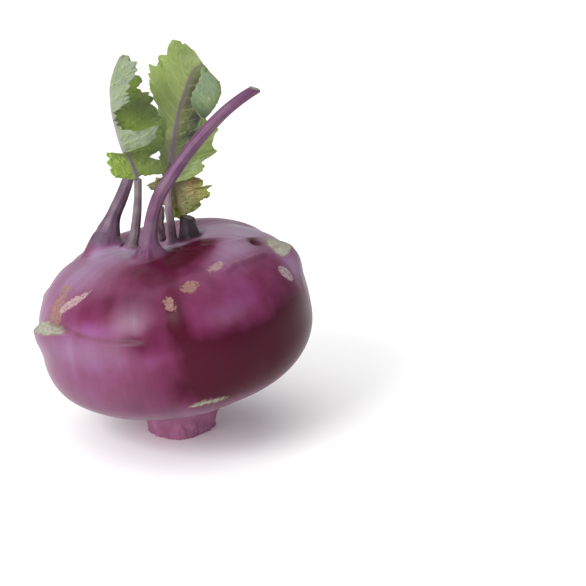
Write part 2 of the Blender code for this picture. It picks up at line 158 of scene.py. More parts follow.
def wander(places: Array, seed: int, waves: int = 5, pace: float = 1.0) -> Array:
    """A smooth irregular curve between about -1 and 1, the same on each run.

    Args:
        places: where to read it.
        seed: picks the curve.
        waves: how many sines it holds, each finer than the last.
        pace: how fast the slowest one turns, in turns for each unit of place.

    Returns:
        The curve's values.
    """
    draw = np.random.default_rng(seed)
    total = np.zeros_like(places, dtype=float)
    weight = 0.0
    for wave in range(waves):
        turns = pace * (1.0 + wave) * draw.uniform(0.8, 1.25)
        share = 1.0 / (1.0 + wave) ** 0.7
        total += share * np.sin(TURN * turns * places + draw.uniform(0.0, TURN))
        weight += share
    return total / weight * 1.6


def linear(hex_colour: str) -> tuple[float, float, float, float]:
    """An sRGB hex colour such as #7a3f66 as linear red, green, blue and alpha."""
    channels = [int(hex_colour[start : start + 2], 16) / 255.0 for start in (1, 3, 5)]
    return (*(c / 12.92 if c <= 0.04045 else ((c + 0.055) / 1.055) ** 2.4 for c in channels), 1.0)


# ---------------------------------------------------------------- meshes


def start_piece(name: str) -> bpy.types.Object:
    """Names the primitive that was just added.

    Args:
        name: the piece's name.

    Returns:
        The piece.
    """
    piece = bpy.context.object
    piece.name = name
    piece.data.name = name
    return piece


def move_points(piece: bpy.types.Object, points: Array) -> None:
    """Puts the piece's points at places given in millimetres."""
    piece.data.vertices.foreach_set("co", (points * MM).ravel())
    piece.data.update()


def paint(piece: bpy.types.Object, layers: dict[str, Array]) -> None:
    """Keeps numbers or vectors for each point of the mesh, for its material to read.

    Args:
        piece: the piece to paint.
        layers: the values, by the name of the attribute that keeps them.
    """
    for name, values in layers.items():
        kind, key = ("FLOAT", "value") if values.ndim == 1 else ("FLOAT_VECTOR", "vector")
        layer = piece.data.attributes.new(name, kind, "POINT")
        layer.data.foreach_set(key, values.astype(np.float32).ravel())


def add_tube(name: str, sides: int, rings: int) -> tuple[bpy.types.Object, Array, Array]:
    """A grid to roll into a closed round piece, with the turn and the ring of each of its points.

    Args:
        name: the piece's name.
        sides: faces around each ring.
        rings: steps from the first end to the last one.

    Returns:
        The piece, each point's turn about its axis in radians and its ring number from 0 to rings.
    """
    bpy.ops.object.select_all(action="DESELECT")
    bpy.ops.mesh.primitive_grid_add(x_subdivisions=sides, y_subdivisions=rings, size=1.0)
    piece = start_piece(name)
    flat = np.empty(len(piece.data.vertices) * 3)
    piece.data.vertices.foreach_get("co", flat)
    flat = flat.reshape(-1, 3)
    return piece, TURN * np.round(flat[:, 0] * sides) / sides, np.round((flat[:, 1] + 0.5) * rings)


@contextmanager
def editing(piece: bpy.types.Object) -> Iterator[None]:
    """Holds one piece in edit mode.

    Args:
        piece: the piece, which is the only one selected.

    Returns:
        Nothing to use; the piece is back in object mode at the end.
    """
    bpy.ops.object.select_all(action="DESELECT")
    bpy.context.view_layer.objects.active = piece
    piece.select_set(True)
    bpy.ops.object.mode_set(mode="EDIT")
    yield
    bpy.ops.object.mode_set(mode="OBJECT")


def weld(piece: bpy.types.Object) -> None:
    """Joins the piece's points that lie together, which closes its seam and its two ends.

    Args:
        piece: the piece to close.
    """
    with editing(piece):
        bpy.ops.mesh.select_all(action="SELECT")
        bpy.ops.mesh.remove_doubles(threshold=WELD_REACH * MM)


def cut_across(piece: bpy.types.Object, place: Array, way: Array, rim: float) -> None:
    """Cuts the end off a piece with a flat knife cut, and leaves the rind standing as a low rim.

    Args:
        piece: the piece to cut, with the number attribute cut.
        place: a point on the cut, in millimetres.
        way: the direction in which the end is cut off.
        rim: how wide the rind round the cut is, in millimetres.
    """
    with editing(piece):
        bpy.ops.mesh.select_all(action="SELECT")
        bpy.ops.mesh.bisect(plane_co=place * MM, plane_no=way, use_fill=True, clear_outer=True)
    # Only the fill of the cut has more than a few corners.
    for face in piece.data.polygons:
        face.select = len(face.vertices) > 8
    with editing(piece):
        bpy.ops.mesh.select_mode(type="FACE")
        for depth in (0.25, 0.1):
            bpy.ops.mesh.inset(thickness=rim * MM, depth=-depth * MM)
    layer = piece.data.attributes["cut"].data
    for face in piece.data.polygons:
        if face.select:
            for corner in face.vertices:
                layer[corner].value = 1.0
    with editing(piece):
        bpy.ops.mesh.poke()


def finish_piece(
    piece: bpy.types.Object, material: bpy.types.Material, nodes: Sequence[str]
) -> None:
    """Dresses a piece and ties it to the frame.

    Args:
        piece: the piece, with its place in its mesh.
        material: its finish.
        nodes: the frame's nodes that it stands for.
    """
    weld(piece)
    piece.data.materials.clear()
    piece.data.materials.append(material)
    piece.data.shade_smooth()
    piece.data.set_sharp_from_angle(angle=SHARP_EDGE)
    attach(piece, "root")
    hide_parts(*nodes)
    LOG.info("%s: %d faces for %s", piece.name, len(piece.data.polygons), ", ".join(nodes))


# ---------------------------------------------------------------- materials


def fill(node: bpy.types.Node, inputs: dict) -> None:
    """Gives a node's inputs their values and links.

    Args:
        node: the node.
        inputs: a value, or a socket to link from, for each input by name or number.
    """
    for key, value in inputs.items():
        if isinstance(value, bpy.types.NodeSocket):
            node.id_data.links.new(value, node.inputs[key])
        else:
            node.inputs[key].default_value = value


def add_node(
    tree: bpy.types.NodeTree, kind: str, inputs: dict | None = None, out: int | str = 0, **settings: object
) -> bpy.types.NodeSocket:
    """Adds a shader node with its settings, values and links.

    Args:
        tree: the material's node tree.
        kind: the node's class name without ShaderNode.
        inputs: a value, or a socket to link from, for each input by name or number.
        out: the name or number of the output that is wanted.
        settings: the node's own properties.

    Returns:
        The socket of that output.
    """
    made = tree.nodes.new("ShaderNode" + kind)
    for key, value in settings.items():
        setattr(made, key, value)
    fill(made, inputs or {})
    return made.outputs[out]


def new_material(name: str) -> tuple[bpy.types.Material, bpy.types.NodeTree, bpy.types.Node]:
    """Starts a material.

    Args:
        name: the material's name.

    Returns:
        The material, its tree and its Principled shader.
    """
    material = bpy.data.materials.new(name)
    material.use_nodes = True
    return material, material.node_tree, material.node_tree.nodes["Principled BSDF"]


@dataclass(frozen=True)
class WaxySkin:
    """Purple kohlrabi skin: a thin living rind with its own wax on it.

    The red pigment in its cells is uneven, so the eye sees burgundy run into lilac. The wax dulls it to
    a soft silky gloss with a blurred highlight, and lies as a grey bloom where nothing has rubbed it.
    The tone and bloom that the stem paints also hold painted shade, painted highlights and painted
    reflections.
    Healed scuffs and leaf scars are dry cork: pale, gritty and without any gloss. The sizes are those of
    the patterns in millimetres. The skin's fibres and the cork's grit, both about 0.2 mm wide, are too
    fine to show and are drawn as wider streaks and grains.
    """

    deep: str = "#40091f"
    middle: str = "#67284a"
    light: str = "#7c4278"
    lilac: str = "#928a98"
    cork: str = "#918f85"
    cork_dark: str = "#756e5f"
    cork_rim: str = "#6b5c4a"
    speck: str = "#b99aa8"
    scuff: str = "#a8949a"
    old_scuff: str = "#7c5a4c"
    torn: str = "#66393f"
    root: str = "#b8809f"
    root_dark: str = "#7c3a5e"
    cloud_size: float = 26.0
    mottle_size: float = 6.0
    smoke_size: float = 6.25
    ragged_size: float = 1.3333
    torn_size: float = 0.7692
    grit_size: float = 1.1111
    speck_spacing: float = 7.5
    speck_radius: float = 0.26

    def make(self) -> bpy.types.Material:
        """Builds the material.

        Returns:
            The material.
        """
        material, tree, shader = new_material("waxy purple skin")
        mm = add_node(
            tree, "VectorMath", {0: add_node(tree, "TexCoord", out="Object"), 3: 1.0 / MM}, operation="SCALE"
        )
        tone, bloom, neck, rind_wax, scuff, old, bark, scar, rim = (
            add_node(tree, "Attribute", out="Fac", attribute_name=name)
            for name in ("tone", "bloom", "neck", "rind_wax", "scuff", "old", "bark", "scar", "rim")
        )
        fibre, sleeve = (
            add_node(tree, "Attribute", out="Vector", attribute_name=name) for name in ("fibre", "sleeve")
        )
        rind, rind_shade, rind_bloom = (
            add_node(tree, "Attribute", out="Color", attribute_name="rind_" + part)
            for part in ("base", "shade", "bloom")
        )
        clouds, mottle, smoke, ragged, torn, grit, streaks, ribs = (
            add_node(
                tree, "TexNoise", {"Vector": where, "Scale": 1.0 / size, "Detail": detail, "Roughness": rough}
            )
            for where, size, detail, rough in (
                (mm, self.cloud_size, 3.0, 0.5),
                (mm, self.mottle_size, 5.0, 0.5),
                (mm, self.smoke_size, 4.0, 0.5),
                (mm, self.ragged_size, 6.0, 0.72),
                (mm, self.torn_size, 5.0, 0.6),
                (mm, self.grit_size, 6.0, 0.65),
                (fibre, 1.0, 4.0, 0.5),
                (sleeve, 1.0, 4.0, 0.6),
            )
        )
        ribbed, smoky, wax, torn, flesh = (
            add_node(tree, "MapRange", {"Value": value, "From Min": low, "From Max": high, "To Max": most})
            for value, low, high, most in (
                (ribs, 0.32, 0.62, 1.0),
                (smoke, 0.3, 0.75, 2.0),
                (streaks, -0.5, 0.75, 1.0),
                (torn, 0.47, 0.62, 0.7),
                (grit, 0.34, 0.56, 1.0),
            )
        )
        smoky, bloom, flesh, dull_neck, gritty, neck_ribs = (
            add_node(tree, "Math", {0: first, 1: second}, operation="MULTIPLY")
            for first, second in (
                (smoky, rind_wax), (bloom, wax), (flesh, scar), (neck, 0.2), (scar, grit), (ribs, neck),
            )
        )
        # The tone runs from burgundy at 0 to lilac purple at 1, and three patterns stir it. The tone that the
        # stem paints holds painted shade besides the pigment.
        for layer, weight in ((clouds, 0.45), (mottle, 0.3), (streaks, 0.13)):
            centred = add_node(tree, "Math", {0: layer, 1: 0.5}, operation="SUBTRACT")
            tone = add_node(tree, "Math", {0: centred, 1: weight, 2: tone}, operation="MULTIPLY_ADD")
        colour = add_node(tree, "ValToRGB", {"Fac": tone}, "Color")
        stops = colour.node.color_ramp.elements
        stops[0].position, stops[0].color = 0.12, linear(self.deep)
        stops[1].position, stops[1].color = 0.80, linear(self.light)
        stops.new(0.45).color = linear(self.middle)

        # One pale speck stands in each cell, larger or smaller by the cell's own random colour.
        cells = add_node(tree, "TexVoronoi", {"Vector": mm, "Scale": 1.0 / self.speck_spacing}, "Distance")
        size = add_node(
            tree,
            "Math",
            {0: cells.node.outputs["Color"], 1: self.speck_radius / self.speck_spacing},
            operation="MULTIPLY",
        )
        specks = add_node(
            tree, "MapRange", {"Value": cells, "From Min": size, "From Max": 0.0, "To Max": 0.85}
        )
        ragged = add_node(tree, "Math", {0: ragged, 1: 0.5}, operation="SUBTRACT")
        edge = add_node(tree, "Math", {0: ragged, 1: 3.2, 2: scuff}, operation="MULTIPLY_ADD")
        healed = add_node(
            tree, "MapRange", {"Value": edge, "From Min": -0.08, "From Max": 0.2, "To Max": 0.9}
        )
        ribbed, worn, fibres, cork = (
            add_node(tree, "Mix", {0: share, 6: base, 7: over}, 2, data_type="RGBA")
            for share, base, over in (
                (ribbed, rind_shade, rind),
                (old, linear(self.scuff), linear(self.old_scuff)),
                (mottle, linear(self.root_dark), linear(self.root)),
                (flesh, linear(self.cork_dark), linear(self.cork)),
            )
        )
        ribbed, worn = (
            add_node(tree, "Mix", {0: share, 6: base, 7: over}, 2, data_type="RGBA")
            for share, base, over in ((smoky, ribbed, rind_bloom), (torn, worn, linear(self.torn)))
        )
        # The layers from the living skin out, each over what lies below it. The lilac bloom layer also holds
        # painted highlights and reflections.
        for share, over in (
            (neck, ribbed),
            (bloom, linear(self.lilac)),
            (specks, linear(self.speck)),
            (healed, worn),
            (bark, fibres),
            (scar, cork),
            (rim, linear(self.cork_rim)),
        ):
            colour = add_node(tree, "Mix", {0: share, 6: colour, 7: over}, 2, data_type="RGBA")
        # What is dry or rubbed has no gloss.
        dull = specks
        for share in (healed, bark, scar, dull_neck):
            dull = add_node(tree, "Math", {0: dull, 1: share}, operation="MAXIMUM")
        relief = gritty
        for height, weight in ((streaks, 0.25), (dull, -0.2), (neck_ribs, 0.6)):
            relief = add_node(tree, "Math", {0: height, 1: weight, 2: relief}, operation="MULTIPLY_ADD")
        fill(
            shader,
            {
                "Base Color": colour,
                "Roughness": add_node(tree, "MapRange", {"Value": dull, "To Min": 0.31, "To Max": 0.85}),
                "Normal": add_node(
                    tree, "Bump", {"Height": relief, "Distance": 0.25 * MM, "Strength": 0.6}
                ),
                "Coat Weight": 0.03,
                "Coat Roughness": 0.25,
                "IOR": 1.36,
                "Specular IOR Level": 0.17,
                "Subsurface Weight": 0.05,
                "Subsurface Radius": (1.0, 0.3, 0.5),
                "Subsurface Scale": 1.5 * MM,
            },
        )
        return material


@dataclass(frozen=True)
class StalkSkin:
    """The rind of a kohlrabi's leaf stalk: firm and fibrous, as it grew, and cut with a knife at its end.

    Its fibres show as fine lengthwise ribs of two purples, which break the highlight into a dull line.
    The grey bloom on it is patchy, and the cut end is dry and pale. The bloom's size is in millimetres.
    """

    name: str
    base: str = "#602b58"
    shade: str = "#42203c"
    bloom: str = "#726068"
    bloom_share: float = 0.25
    cut: str = "#8c8a7c"
    gloss: float = 0.42
    bloom_size: float = 6.25

    def make(self) -> bpy.types.Material:
        """Builds the material.

        Returns:
            The material.
        """
        material, tree, shader = new_material(self.name)
        mm = add_node(
            tree, "VectorMath", {0: add_node(tree, "TexCoord", out="Object"), 3: 1.0 / MM}, operation="SCALE"
        )
        fibre = add_node(tree, "Attribute", out="Vector", attribute_name="fibre")
        streaks = add_node(tree, "TexNoise", {"Vector": fibre, "Scale": 1.0, "Detail": 4.0, "Roughness": 0.6})
        clouds = add_node(tree, "TexNoise", {"Vector": mm, "Scale": 1.0 / self.bloom_size, "Detail": 4.0})
        colour = add_node(tree, "ValToRGB", {"Fac": streaks}, "Color")
        stops = colour.node.color_ramp.elements
        stops[0].position, stops[0].color = 0.32, linear(self.shade)
        stops[1].position, stops[1].color = 0.62, linear(self.base)
        most = 2.0 * self.bloom_share
        wax = add_node(tree, "MapRange", {"Value": clouds, "From Min": 0.3, "From Max": 0.75, "To Max": most})
        cut = add_node(tree, "Attribute", out="Fac", attribute_name="cut")
        for share, over in ((wax, self.bloom), (cut, self.cut)):
            colour = add_node(tree, "Mix", {0: share, 6: colour, 7: linear(over)}, 2, data_type="RGBA")
        fill(
            shader,
            {
                "Base Color": colour,
                "Roughness": add_node(tree, "MapRange", {"Value": cut, "To Min": self.gloss, "To Max": 0.85}),
                "Normal": add_node(
                    tree, "Bump", {"Height": streaks, "Distance": 0.2 * MM, "Strength": 0.5}
                ),
                "IOR": 1.36,
            },
        )
        return material


class LeafHue(Enum):
    """What a region of a leaf is painted in, by the name of its attribute: BRIGHT is partly painted light and
    DEEP is painted shade.
    """

    BRIGHT = "bright"
    BROWN = "brown"
    DEEP = "deep"


@dataclass(frozen=True)
class LeafFlesh:
    """A young brassica leaf, as it grew: thin soft flesh that lets light through.

    The eye sees a matt, mottled green above and a waxy grey-green below, with paler veins and a purplish
    rib, and a faint velvety edge from its hairs and wax. The hues are those painted over its regions, in
    the order of LeafHue: the bright one is partly painted light and the last one is painted shade. The
    sizes are those of the patterns in millimetres. The net of its finest veins has meshes under 1 mm,
    too fine to show, and is drawn wider.
    """

    name: str
    upper: str
    upper_deep: str
    under: str
    under_deep: str
    vein: str
    rib: str
    patch: str
    patch_share: float
    hues: tuple[str, str, str]
    vein_share: float = 0.45
    net_share: float = 0.06
    net_size: float = 2.2
    cloud_size: float = 8.3333
    patch_size: float = 4.5455
    blotch_size: float = 2.5
    grain_size: float = 0.625

    def make(self) -> bpy.types.Material:
        """Builds the material.

        Returns:
            The material.
        """
        material, tree, shader = new_material(self.name)
        mm = add_node(
            tree, "VectorMath", {0: add_node(tree, "TexCoord", out="Object"), 3: 1.0 / MM}, operation="SCALE"
        )
        flat = add_node(tree, "Attribute", out="Vector", attribute_name="flat")
        side, vein, rib = (
            add_node(tree, "Attribute", out="Fac", attribute_name=name) for name in ("side", "vein", "rib")
        )
        clouds, patch, blotch, grain = (
            add_node(tree, "TexNoise", {"Vector": mm, "Scale": 1.0 / size, "Detail": detail})
            for size, detail in (
                (self.cloud_size, 5.0),
                (self.patch_size, 4.0),
                (self.blotch_size, 5.0),
                (self.grain_size, 3.0),
            )
        )
        net = add_node(
            tree,
            "TexVoronoi",
            {"Vector": flat, "Scale": 1.0 / self.net_size},
            "Distance",
            feature="DISTANCE_TO_EDGE",
        )
        clouds, patch, blotch, net = (
            add_node(
                tree,
                "MapRange",
                {"Value": value, "From Min": low, "From Max": high, "To Min": least, "To Max": most},
            )
            for value, low, high, least, most in (
                (clouds, 0.3, 0.7, 0.0, 1.0),
                (patch, 0.42, 0.6, 0.0, self.patch_share),
                (blotch, 0.32, 0.52, 0.6, 1.0),
                (net, 0.10, 0.0, 0.0, 1.0),
            )
        )
        upper, under = (
            add_node(tree, "Mix", {0: clouds, 6: linear(deep), 7: linear(pale)}, 2, data_type="RGBA")
            for deep, pale in ((self.upper_deep, self.upper), (self.under_deep, self.under))
        )
        colour = add_node(tree, "Mix", {0: side, 6: under, 7: upper}, 2, data_type="RGBA")
        layers = [(patch, self.patch)]
        for hue, hex_colour in zip(LeafHue, self.hues):
            stain = add_node(tree, "Attribute", out="Fac", attribute_name=hue.value)
            stain = add_node(tree, "Math", {0: stain, 1: blotch}, operation="MULTIPLY")
            layers.append((stain, hex_colour))
        # The veins fade where the leaf is painted in shade, which is the last of its hues.
        lit = add_node(tree, "Math", {0: stain, 1: -1.0, 2: 1.0}, operation="MULTIPLY_ADD")
        vein = add_node(tree, "Math", {0: vein, 1: self.vein_share}, operation="MULTIPLY")
        vein = add_node(tree, "Math", {0: vein, 1: lit}, operation="MULTIPLY")
        fine = add_node(tree, "Math", {0: net, 1: self.net_share}, operation="MULTIPLY")
        vein = add_node(tree, "Math", {0: vein, 1: fine}, operation="MAXIMUM")
        for share, over in (*layers, (vein, self.vein), (rib, self.rib)):
            colour = add_node(tree, "Mix", {0: share, 6: colour, 7: linear(over)}, 2, data_type="RGBA")
        relief = add_node(tree, "Math", {0: net, 1: -0.2, 2: grain}, operation="MULTIPLY_ADD")
        fill(
            shader,
            {
                "Base Color": colour,
                "Roughness": 0.5,
                "Normal": add_node(
                    tree, "Bump", {"Height": relief, "Distance": 0.15 * MM, "Strength": 0.5}
                ),
                "Subsurface Weight": 0.25,
                "Subsurface Radius": (0.6, 1.0, 0.25),
                "Subsurface Scale": 0.8 * MM,
                "Sheen Weight": 0.15,
            },
        )
        return material


# ---------------------------------------------------------------- the swollen stem


@dataclass(frozen=True)
class LeafScar:
    """The corky ledge that a fallen leaf leaves: a slanted oval face over a swelling.

    The azimuth is in degrees about the stem's own axis, and the height is that of the ledge's rim
    above the stem's middle.
    """

    azimuth: float
    height: float
    half_length: float
    ledge: float
    face: float = 4.4
    bow: float = 1.2
    slant: float = 0.0
    swelling: float = 8.5
    lip: float = 0.35
    lip_width: float = 0.9
    raggedness: float = 0.25
    dents: float = 0.12


@dataclass(frozen=True)
class SkinLine:
    """A low ridge or a step that runs over the stem from a leaf scar or a stalk.

    Its points are (azimuth in degrees, height above the stem's middle). Its painted_shade darkens the
    skin along it as painted shade in the crease.
    """

    points: tuple[tuple[float, float], ...]
    width: float
    ridge: float
    step: float
    reach: float
    painted_shade: float


@dataclass(frozen=True)
class Tint:
    """A soft-edged region of the skin that is lighter, darker or waxier than the rest.

    Its middle and its half-sizes are an azimuth in degrees and a height above the stem's middle. Many
    tints paint light and shade: a darker tone as painted shade, a paler bloom as painted highlights and
    reflections.
    """

    azimuth: float
    height: float
    half_turn: float
    half_height: float
    tone: float = 0.0
    bloom: float = 0.0
    edge: float = 1.0

    def share(self, turn: Array, height: Array) -> Array:
        """How much of the tint each place takes, from 0 to 1."""
        away = turn_from(turn, self.azimuth) / math.radians(self.half_turn)
        return np.exp(-((away**2 + ((height - self.height) / self.half_height) ** 2) ** self.edge))


@dataclass(frozen=True)
class Scuff:
    """A healed graze on the skin: a corky patch, its half-sizes in millimetres.

    Its middle is (azimuth in degrees, height above the stem's middle), and it is turned by tilt degrees
    anticlockwise. It is brown by the share old, sunk by so many millimetres and sharper if crisper.
    """

    azimuth: float
    height: float
    half_width: float
    half_height: float
    tilt: float = 0.0
    old: float = 0.0
    sunk: float = 0.15
    crispness: float = 1.4


@dataclass(frozen=True)
class SkinPlaces:
    """Places on the stem's skin.

    Attributes:
        turn: the turn about the stem's leaning axis, in radians.
        radius: how far the place is from that axis.
        height: how high it is above the stem's middle.
        arc: the length of the stem's outline from the foot to the place.
    """

    turn: Array
    radius: Array
    height: Array
    arc: Array


@dataclass(frozen=True)
class Hollow:
    """A shallow valley or a low swell that runs over the stem between two places.

    The places are (azimuth in degrees, height above the stem's middle); width and rise are in mm.
    """

    start: tuple[float, float]
    end: tuple[float, float]
    width: float
    rise: float


@dataclass(frozen=True)
class Stalk:
    """A leaf stalk: an oval, ribbed tube along a path of (x, y, z, half-width, half-depth).

    The stem's own neck takes the path up to the share split; the stalk's piece takes the rest.

    Attributes:
        spread: how many times wider than the path its neck flares out at the crown.
        ribs, rib_depth: the ribs along it, as a share of its width.
        groove, groove_turn: the shallow groove along it, and where it runs, in degrees.
        cut_lean: how far the knife's cut leans from square.
        keel, keel_turn: the ridge that runs up its neck, and where, in degrees.
        sink: how deep its foot sits in the neck.
        sides, ring_step, cap: faces round it, the length of each and how many round off an end.
    """

    name: str
    split: float
    path: Table
    skin: StalkSkin
    spread: float = 1.5
    ribs: int = 9
    rib_depth: float = 0.05
    groove: float = 0.10
    groove_turn: float = -114.592
    cut_lean: tuple[float, float, float] = (0.0, 0.0, 0.0)
    keel: float = 0.0
    keel_turn: float = -95.0
    sink: float = 2.4
    sides: int = 48
    ring_step: float = 0.45
    cap: int = 5

    def ways(self, places: Array) -> tuple[Array, Array]:
        """The directions across the stalk.

        Args:
            places: shares of its length.

        Returns:
            The way to its right and the way to its front at each place.
        """
        _, right, front = frames(route(self.path, np.linspace(0.0, 1.0, PATH_STEPS))[:, :3])
        index = np.round(places * (PATH_STEPS - 1)).astype(int)
        return right[index], front[index]

    def build(self, material: bpy.types.Material) -> bpy.types.Object:
        """Makes the stalk from where it grows out of the neck to its cut end.

        Args:
            material: the stalk's rind.

        Returns:
            The finished piece.
        """
        length = chords(self.path).sum()
        rings = int(length / self.ring_step)
        piece, turn, row = add_tube("rind_of_" + self.name, self.sides, rings)
        start = max(self.split - self.sink / length, 0.0)
        places = start + (1.0 - start) * np.clip((row - self.cap) / (rings - 2 * self.cap), 0.0, 1.0)
        stations = route(self.path, places)
        right, front = self.ways(places)
        ahead = np.cross(front, right)
        # Both ends are rounded off, and the last one is then cut.
        from_end = np.clip(np.minimum(row, rings - row) / self.cap, 0.0, 1.0)
        size = 1.0 - (1.0 - from_end) ** 2.5
        emerge = 0.90 + 0.10 * ease((places - start) / max(self.split - start, 0.01))
        wrinkle = self.rib_depth * np.sin(self.ribs * turn + 0.8 * np.sin(3.0 * places * math.pi))
        wrinkle += self.rib_depth * 0.5 * np.sin((2 * self.ribs + 3) * turn + 4.0 * places)
        wrinkle -= self.groove * bell(turn_from(turn, self.groove_turn) / 0.5)
        grown = ease((places - start) * length / (self.sink * 2.2))
        size = size * emerge * (1.0 + (wrinkle * 0.6 - 0.03) * grown)
        width = stations[:, 3] * size * np.cos(turn)
        depth = stations[:, 4] * size * np.sin(turn)
        points = stations[:, :3] + right * width[:, None] + front * depth[:, None]
        points += ahead * (1.2 * np.clip((row - rings + self.cap) / self.cap, 0.0, 1.0))[:, None]
        move_points(piece, points)
        paint(piece, {"fibre": wrapped(turn, 3.2, places * length * 0.06), "cut": np.zeros(len(points))})
        weld(piece)
        way = unit(ahead[-1:] + np.array([self.cut_lean]))[0]
        cut_across(piece, np.array(self.path[-1][:3]) - way * 0.4, way, 0.22 * self.path[-1][3])
        finish_piece(piece, material, (self.name,))
        return piece


@dataclass(frozen=True)
class SwollenStem:
    """The round body with its root stub, its leaf scars and the flared necks of its stalks.

    Attributes:
        scars, lines, tints, hollows, scuffs: what marks the skin; the lines' painted_shade and many of the
        tints paint shade and light.
        stalks: the leaf stalks, for whose lowest parts the stem makes the necks.
        radius, rise, drop: the stem's size about its middle.
        top_fullness, foot_fullness: 2 for a round outline and more for a squarer one.
        lean: how far its axis leans, in radians.
        dip, dip_radius: the sunk middle of the crown.
        root_radii, root_heights: the root stub's outline from its foot up.
        foot_radius: the part of the underside that becomes the flat foot.
        root_fillet: how softly the root runs into the body.
        root_blend: between these radii the underside goes over from the root to the plain body.
        bark_fade: the same for the root's bark.
        foot_wall: below this height the root's wall is never cut by the body.
        neck_core: the share of a neck's reach that becomes the top of its tube.
        neck_climb, neck_flare: powers that shape how a neck rises and spreads.
        neck_waist: how much narrower a neck ends than the stalk that comes out of it.
        plain_tone, crown_bloom_and_highlight, foot_bloom_and_reflection: the colour where no tint lies; the
        pale crown is wax bloom with painted highlight, the pale foot wax bloom with painted floor reflection.
    """

    scars: tuple[LeafScar, ...]
    lines: tuple[SkinLine, ...]
    tints: tuple[Tint, ...]
    hollows: tuple[Hollow, ...]
    scuffs: tuple[Scuff, ...]
    stalks: tuple[Stalk, ...]
    radius: float = 50.0
    rise: float = 35.5
    drop: float = 25.7
    top_fullness: float = 2.78
    foot_fullness: float = 2.36
    middle_height: float = 38.2
    lean: float = math.radians(10.4)
    dip: float = 4.0
    dip_radius: float = 13.0
    root_radii: tuple[float, ...] = (12.6, 12.6, 13.4, 16.5, 21.0, 27.0)
    root_heights: tuple[float, ...] = (0.0, 1.2, 5.5, 10.0, 15.5, 19.5)
    foot_radius: float = 7.0
    root_fillet: float = 1.6
    root_blend: tuple[float, float] = (22.0, 27.0)
    bark_fade: tuple[float, float] = (12.0, 21.0)
    foot_wall: float = 6.0
    neck_core: float = 0.34
    neck_climb: float = 1.7
    neck_flare: float = 2.8
    neck_waist: float = 0.09
    plain_tone: float = 0.47
    crown_bloom_and_highlight: float = 0.32
    foot_bloom_and_reflection: float = 0.35
    sides: int = 320
    rings: int = 260

    def profile(self) -> tuple[Array, Array, Array]:
        """The stem's outline from its foot to its crown.

        Returns:
            The radius, the height and the arc of each of its points.
        """
        angle = np.linspace(-math.pi / 2.0, math.pi / 2.0, 6001)
        rising = np.sin(angle) >= 0.0
        power = 2.0 / np.where(rising, self.top_fullness, self.foot_fullness)
        radius = self.radius * np.abs(np.cos(angle)) ** power
        height = np.where(rising, self.rise, -self.drop) * np.abs(np.sin(angle)) ** power
        height -= np.where(rising, self.dip * bell(radius / self.dip_radius), 0.0)
        steps = np.hypot(np.diff(radius), np.diff(height))
        return radius, height, np.concatenate(([0.0], np.cumsum(steps)))

    def to_world(self, stem: Array) -> Array:
        """Turns points about the stem's own leaning axis to points in the frame.

        Args:
            stem: the points about the axis.

        Returns:
            The same points in the frame.
        """
        across, depth, height = stem.T
        right = across * math.cos(self.lean) - height * math.sin(self.lean)
        up = across * math.sin(self.lean) + height * math.cos(self.lean)
        return np.stack((right, depth, up + self.middle_height), axis=1)

    def to_stem(self, points: Array, are_ways: bool = False) -> Array:
        """Turns points or directions in the frame to those about the stem's own axis.

        Args:
            points: the points or directions in the frame.
            are_ways: whether they are directions, which don't start from the stem's middle.

        Returns:
            The same points or directions about the axis.
        """
        right, depth, up = points.T
        up = up if are_ways else up - self.middle_height
        across = right * math.cos(self.lean) + up * math.sin(self.lean)
        height = up * math.cos(self.lean) - right * math.sin(self.lean)
        return np.stack((across, depth, height), axis=1)

    def arc_at(self, heights: Array | Sequence[float] | float) -> Array:
        """The arcs at which the stem's side reaches heights."""
        radius, height, arc = self.profile()
        return np.interp(heights, height[radius > self.dip_radius], arc[radius > self.dip_radius])

    def beside(
        self, skin: SkinPlaces, start: Sequence[float], end: Sequence[float]
    ) -> tuple[Array, Array, Array]:
        """Measures the skin against a line that runs over it.

        Args:
            skin: the places on the skin.
            start: where the line starts (azimuth in degrees, height).
            end: where it ends.

        Returns:
            How far each place is from the line, the share of the line that it is beside, and 1 where it
            is above the line or -1 below.
        """
        radius, _, outline = self.profile()
        arcs = self.arc_at([start[1], end[1]])
        girth = np.interp(arcs.mean(), outline, radius)
        across, up = turn_from(skin.turn, start[0]) * girth, skin.arc - arcs[0]
        run = np.array([math.radians(end[0] - start[0]) * girth, arcs[1] - arcs[0]])
        share = np.clip((across * run[0] + up * run[1]) / (run @ run), 0.0, 1.0)
        away = np.hypot(across - share * run[0], up - share * run[1])
        return away, share, np.sign(up * run[0] - across * run[1]) * np.sign(run[0])

    def add_scars(self, skin: SkinPlaces) -> tuple[Array, Array]:
        """Raises the skin to the leaf scars.

        Args:
            skin: the places on the skin.

        Returns:
            How far the scars raise each place, and how much of it is a corky face.
        """
        raised = np.zeros_like(skin.turn)
        mask = np.zeros_like(skin.turn)
        for number, scar in enumerate(self.scars):
            away = turn_from(skin.turn, scar.azimuth) * skin.radius
            along = away / scar.half_length
            inside = np.abs(along) < 1.0
            share = np.where(inside, np.cos(np.clip(along, -1, 1) * math.pi / 2.0), 0.0) ** 0.65
            ragged = scar.raggedness * wander(along, 31 + number, 6, 1.4)
            # The face starts at the ragged rim low, and stands up from it like a slanted step.
            low = scar.height - scar.bow * along**2 * 0.5 + ragged + scar.slant * away
            face = scar.face * share * (1.0 + 0.12 * wander(along, 57 + number, 4))
            up = skin.height - low
            slope = np.clip(up / np.maximum(face, 0.05), 0.0, 1.0)
            swell = np.where(up < 0.0, bell(np.minimum(up, 0.0) / scar.swelling), 1.0 - slope**1.15)
            lip = scar.lip * bell(up / scar.lip_width)
            dents = scar.dents * wander(along * 3.0, 71 + number) * np.sin(math.pi * slope)
            raised += share * (scar.ledge * swell + lip + dents) * inside
            edge = np.minimum(up + 0.35, face - up) / 0.5
            mask = np.maximum(mask, ease(edge) * inside * ease(share * 3.0))
        return raised, mask

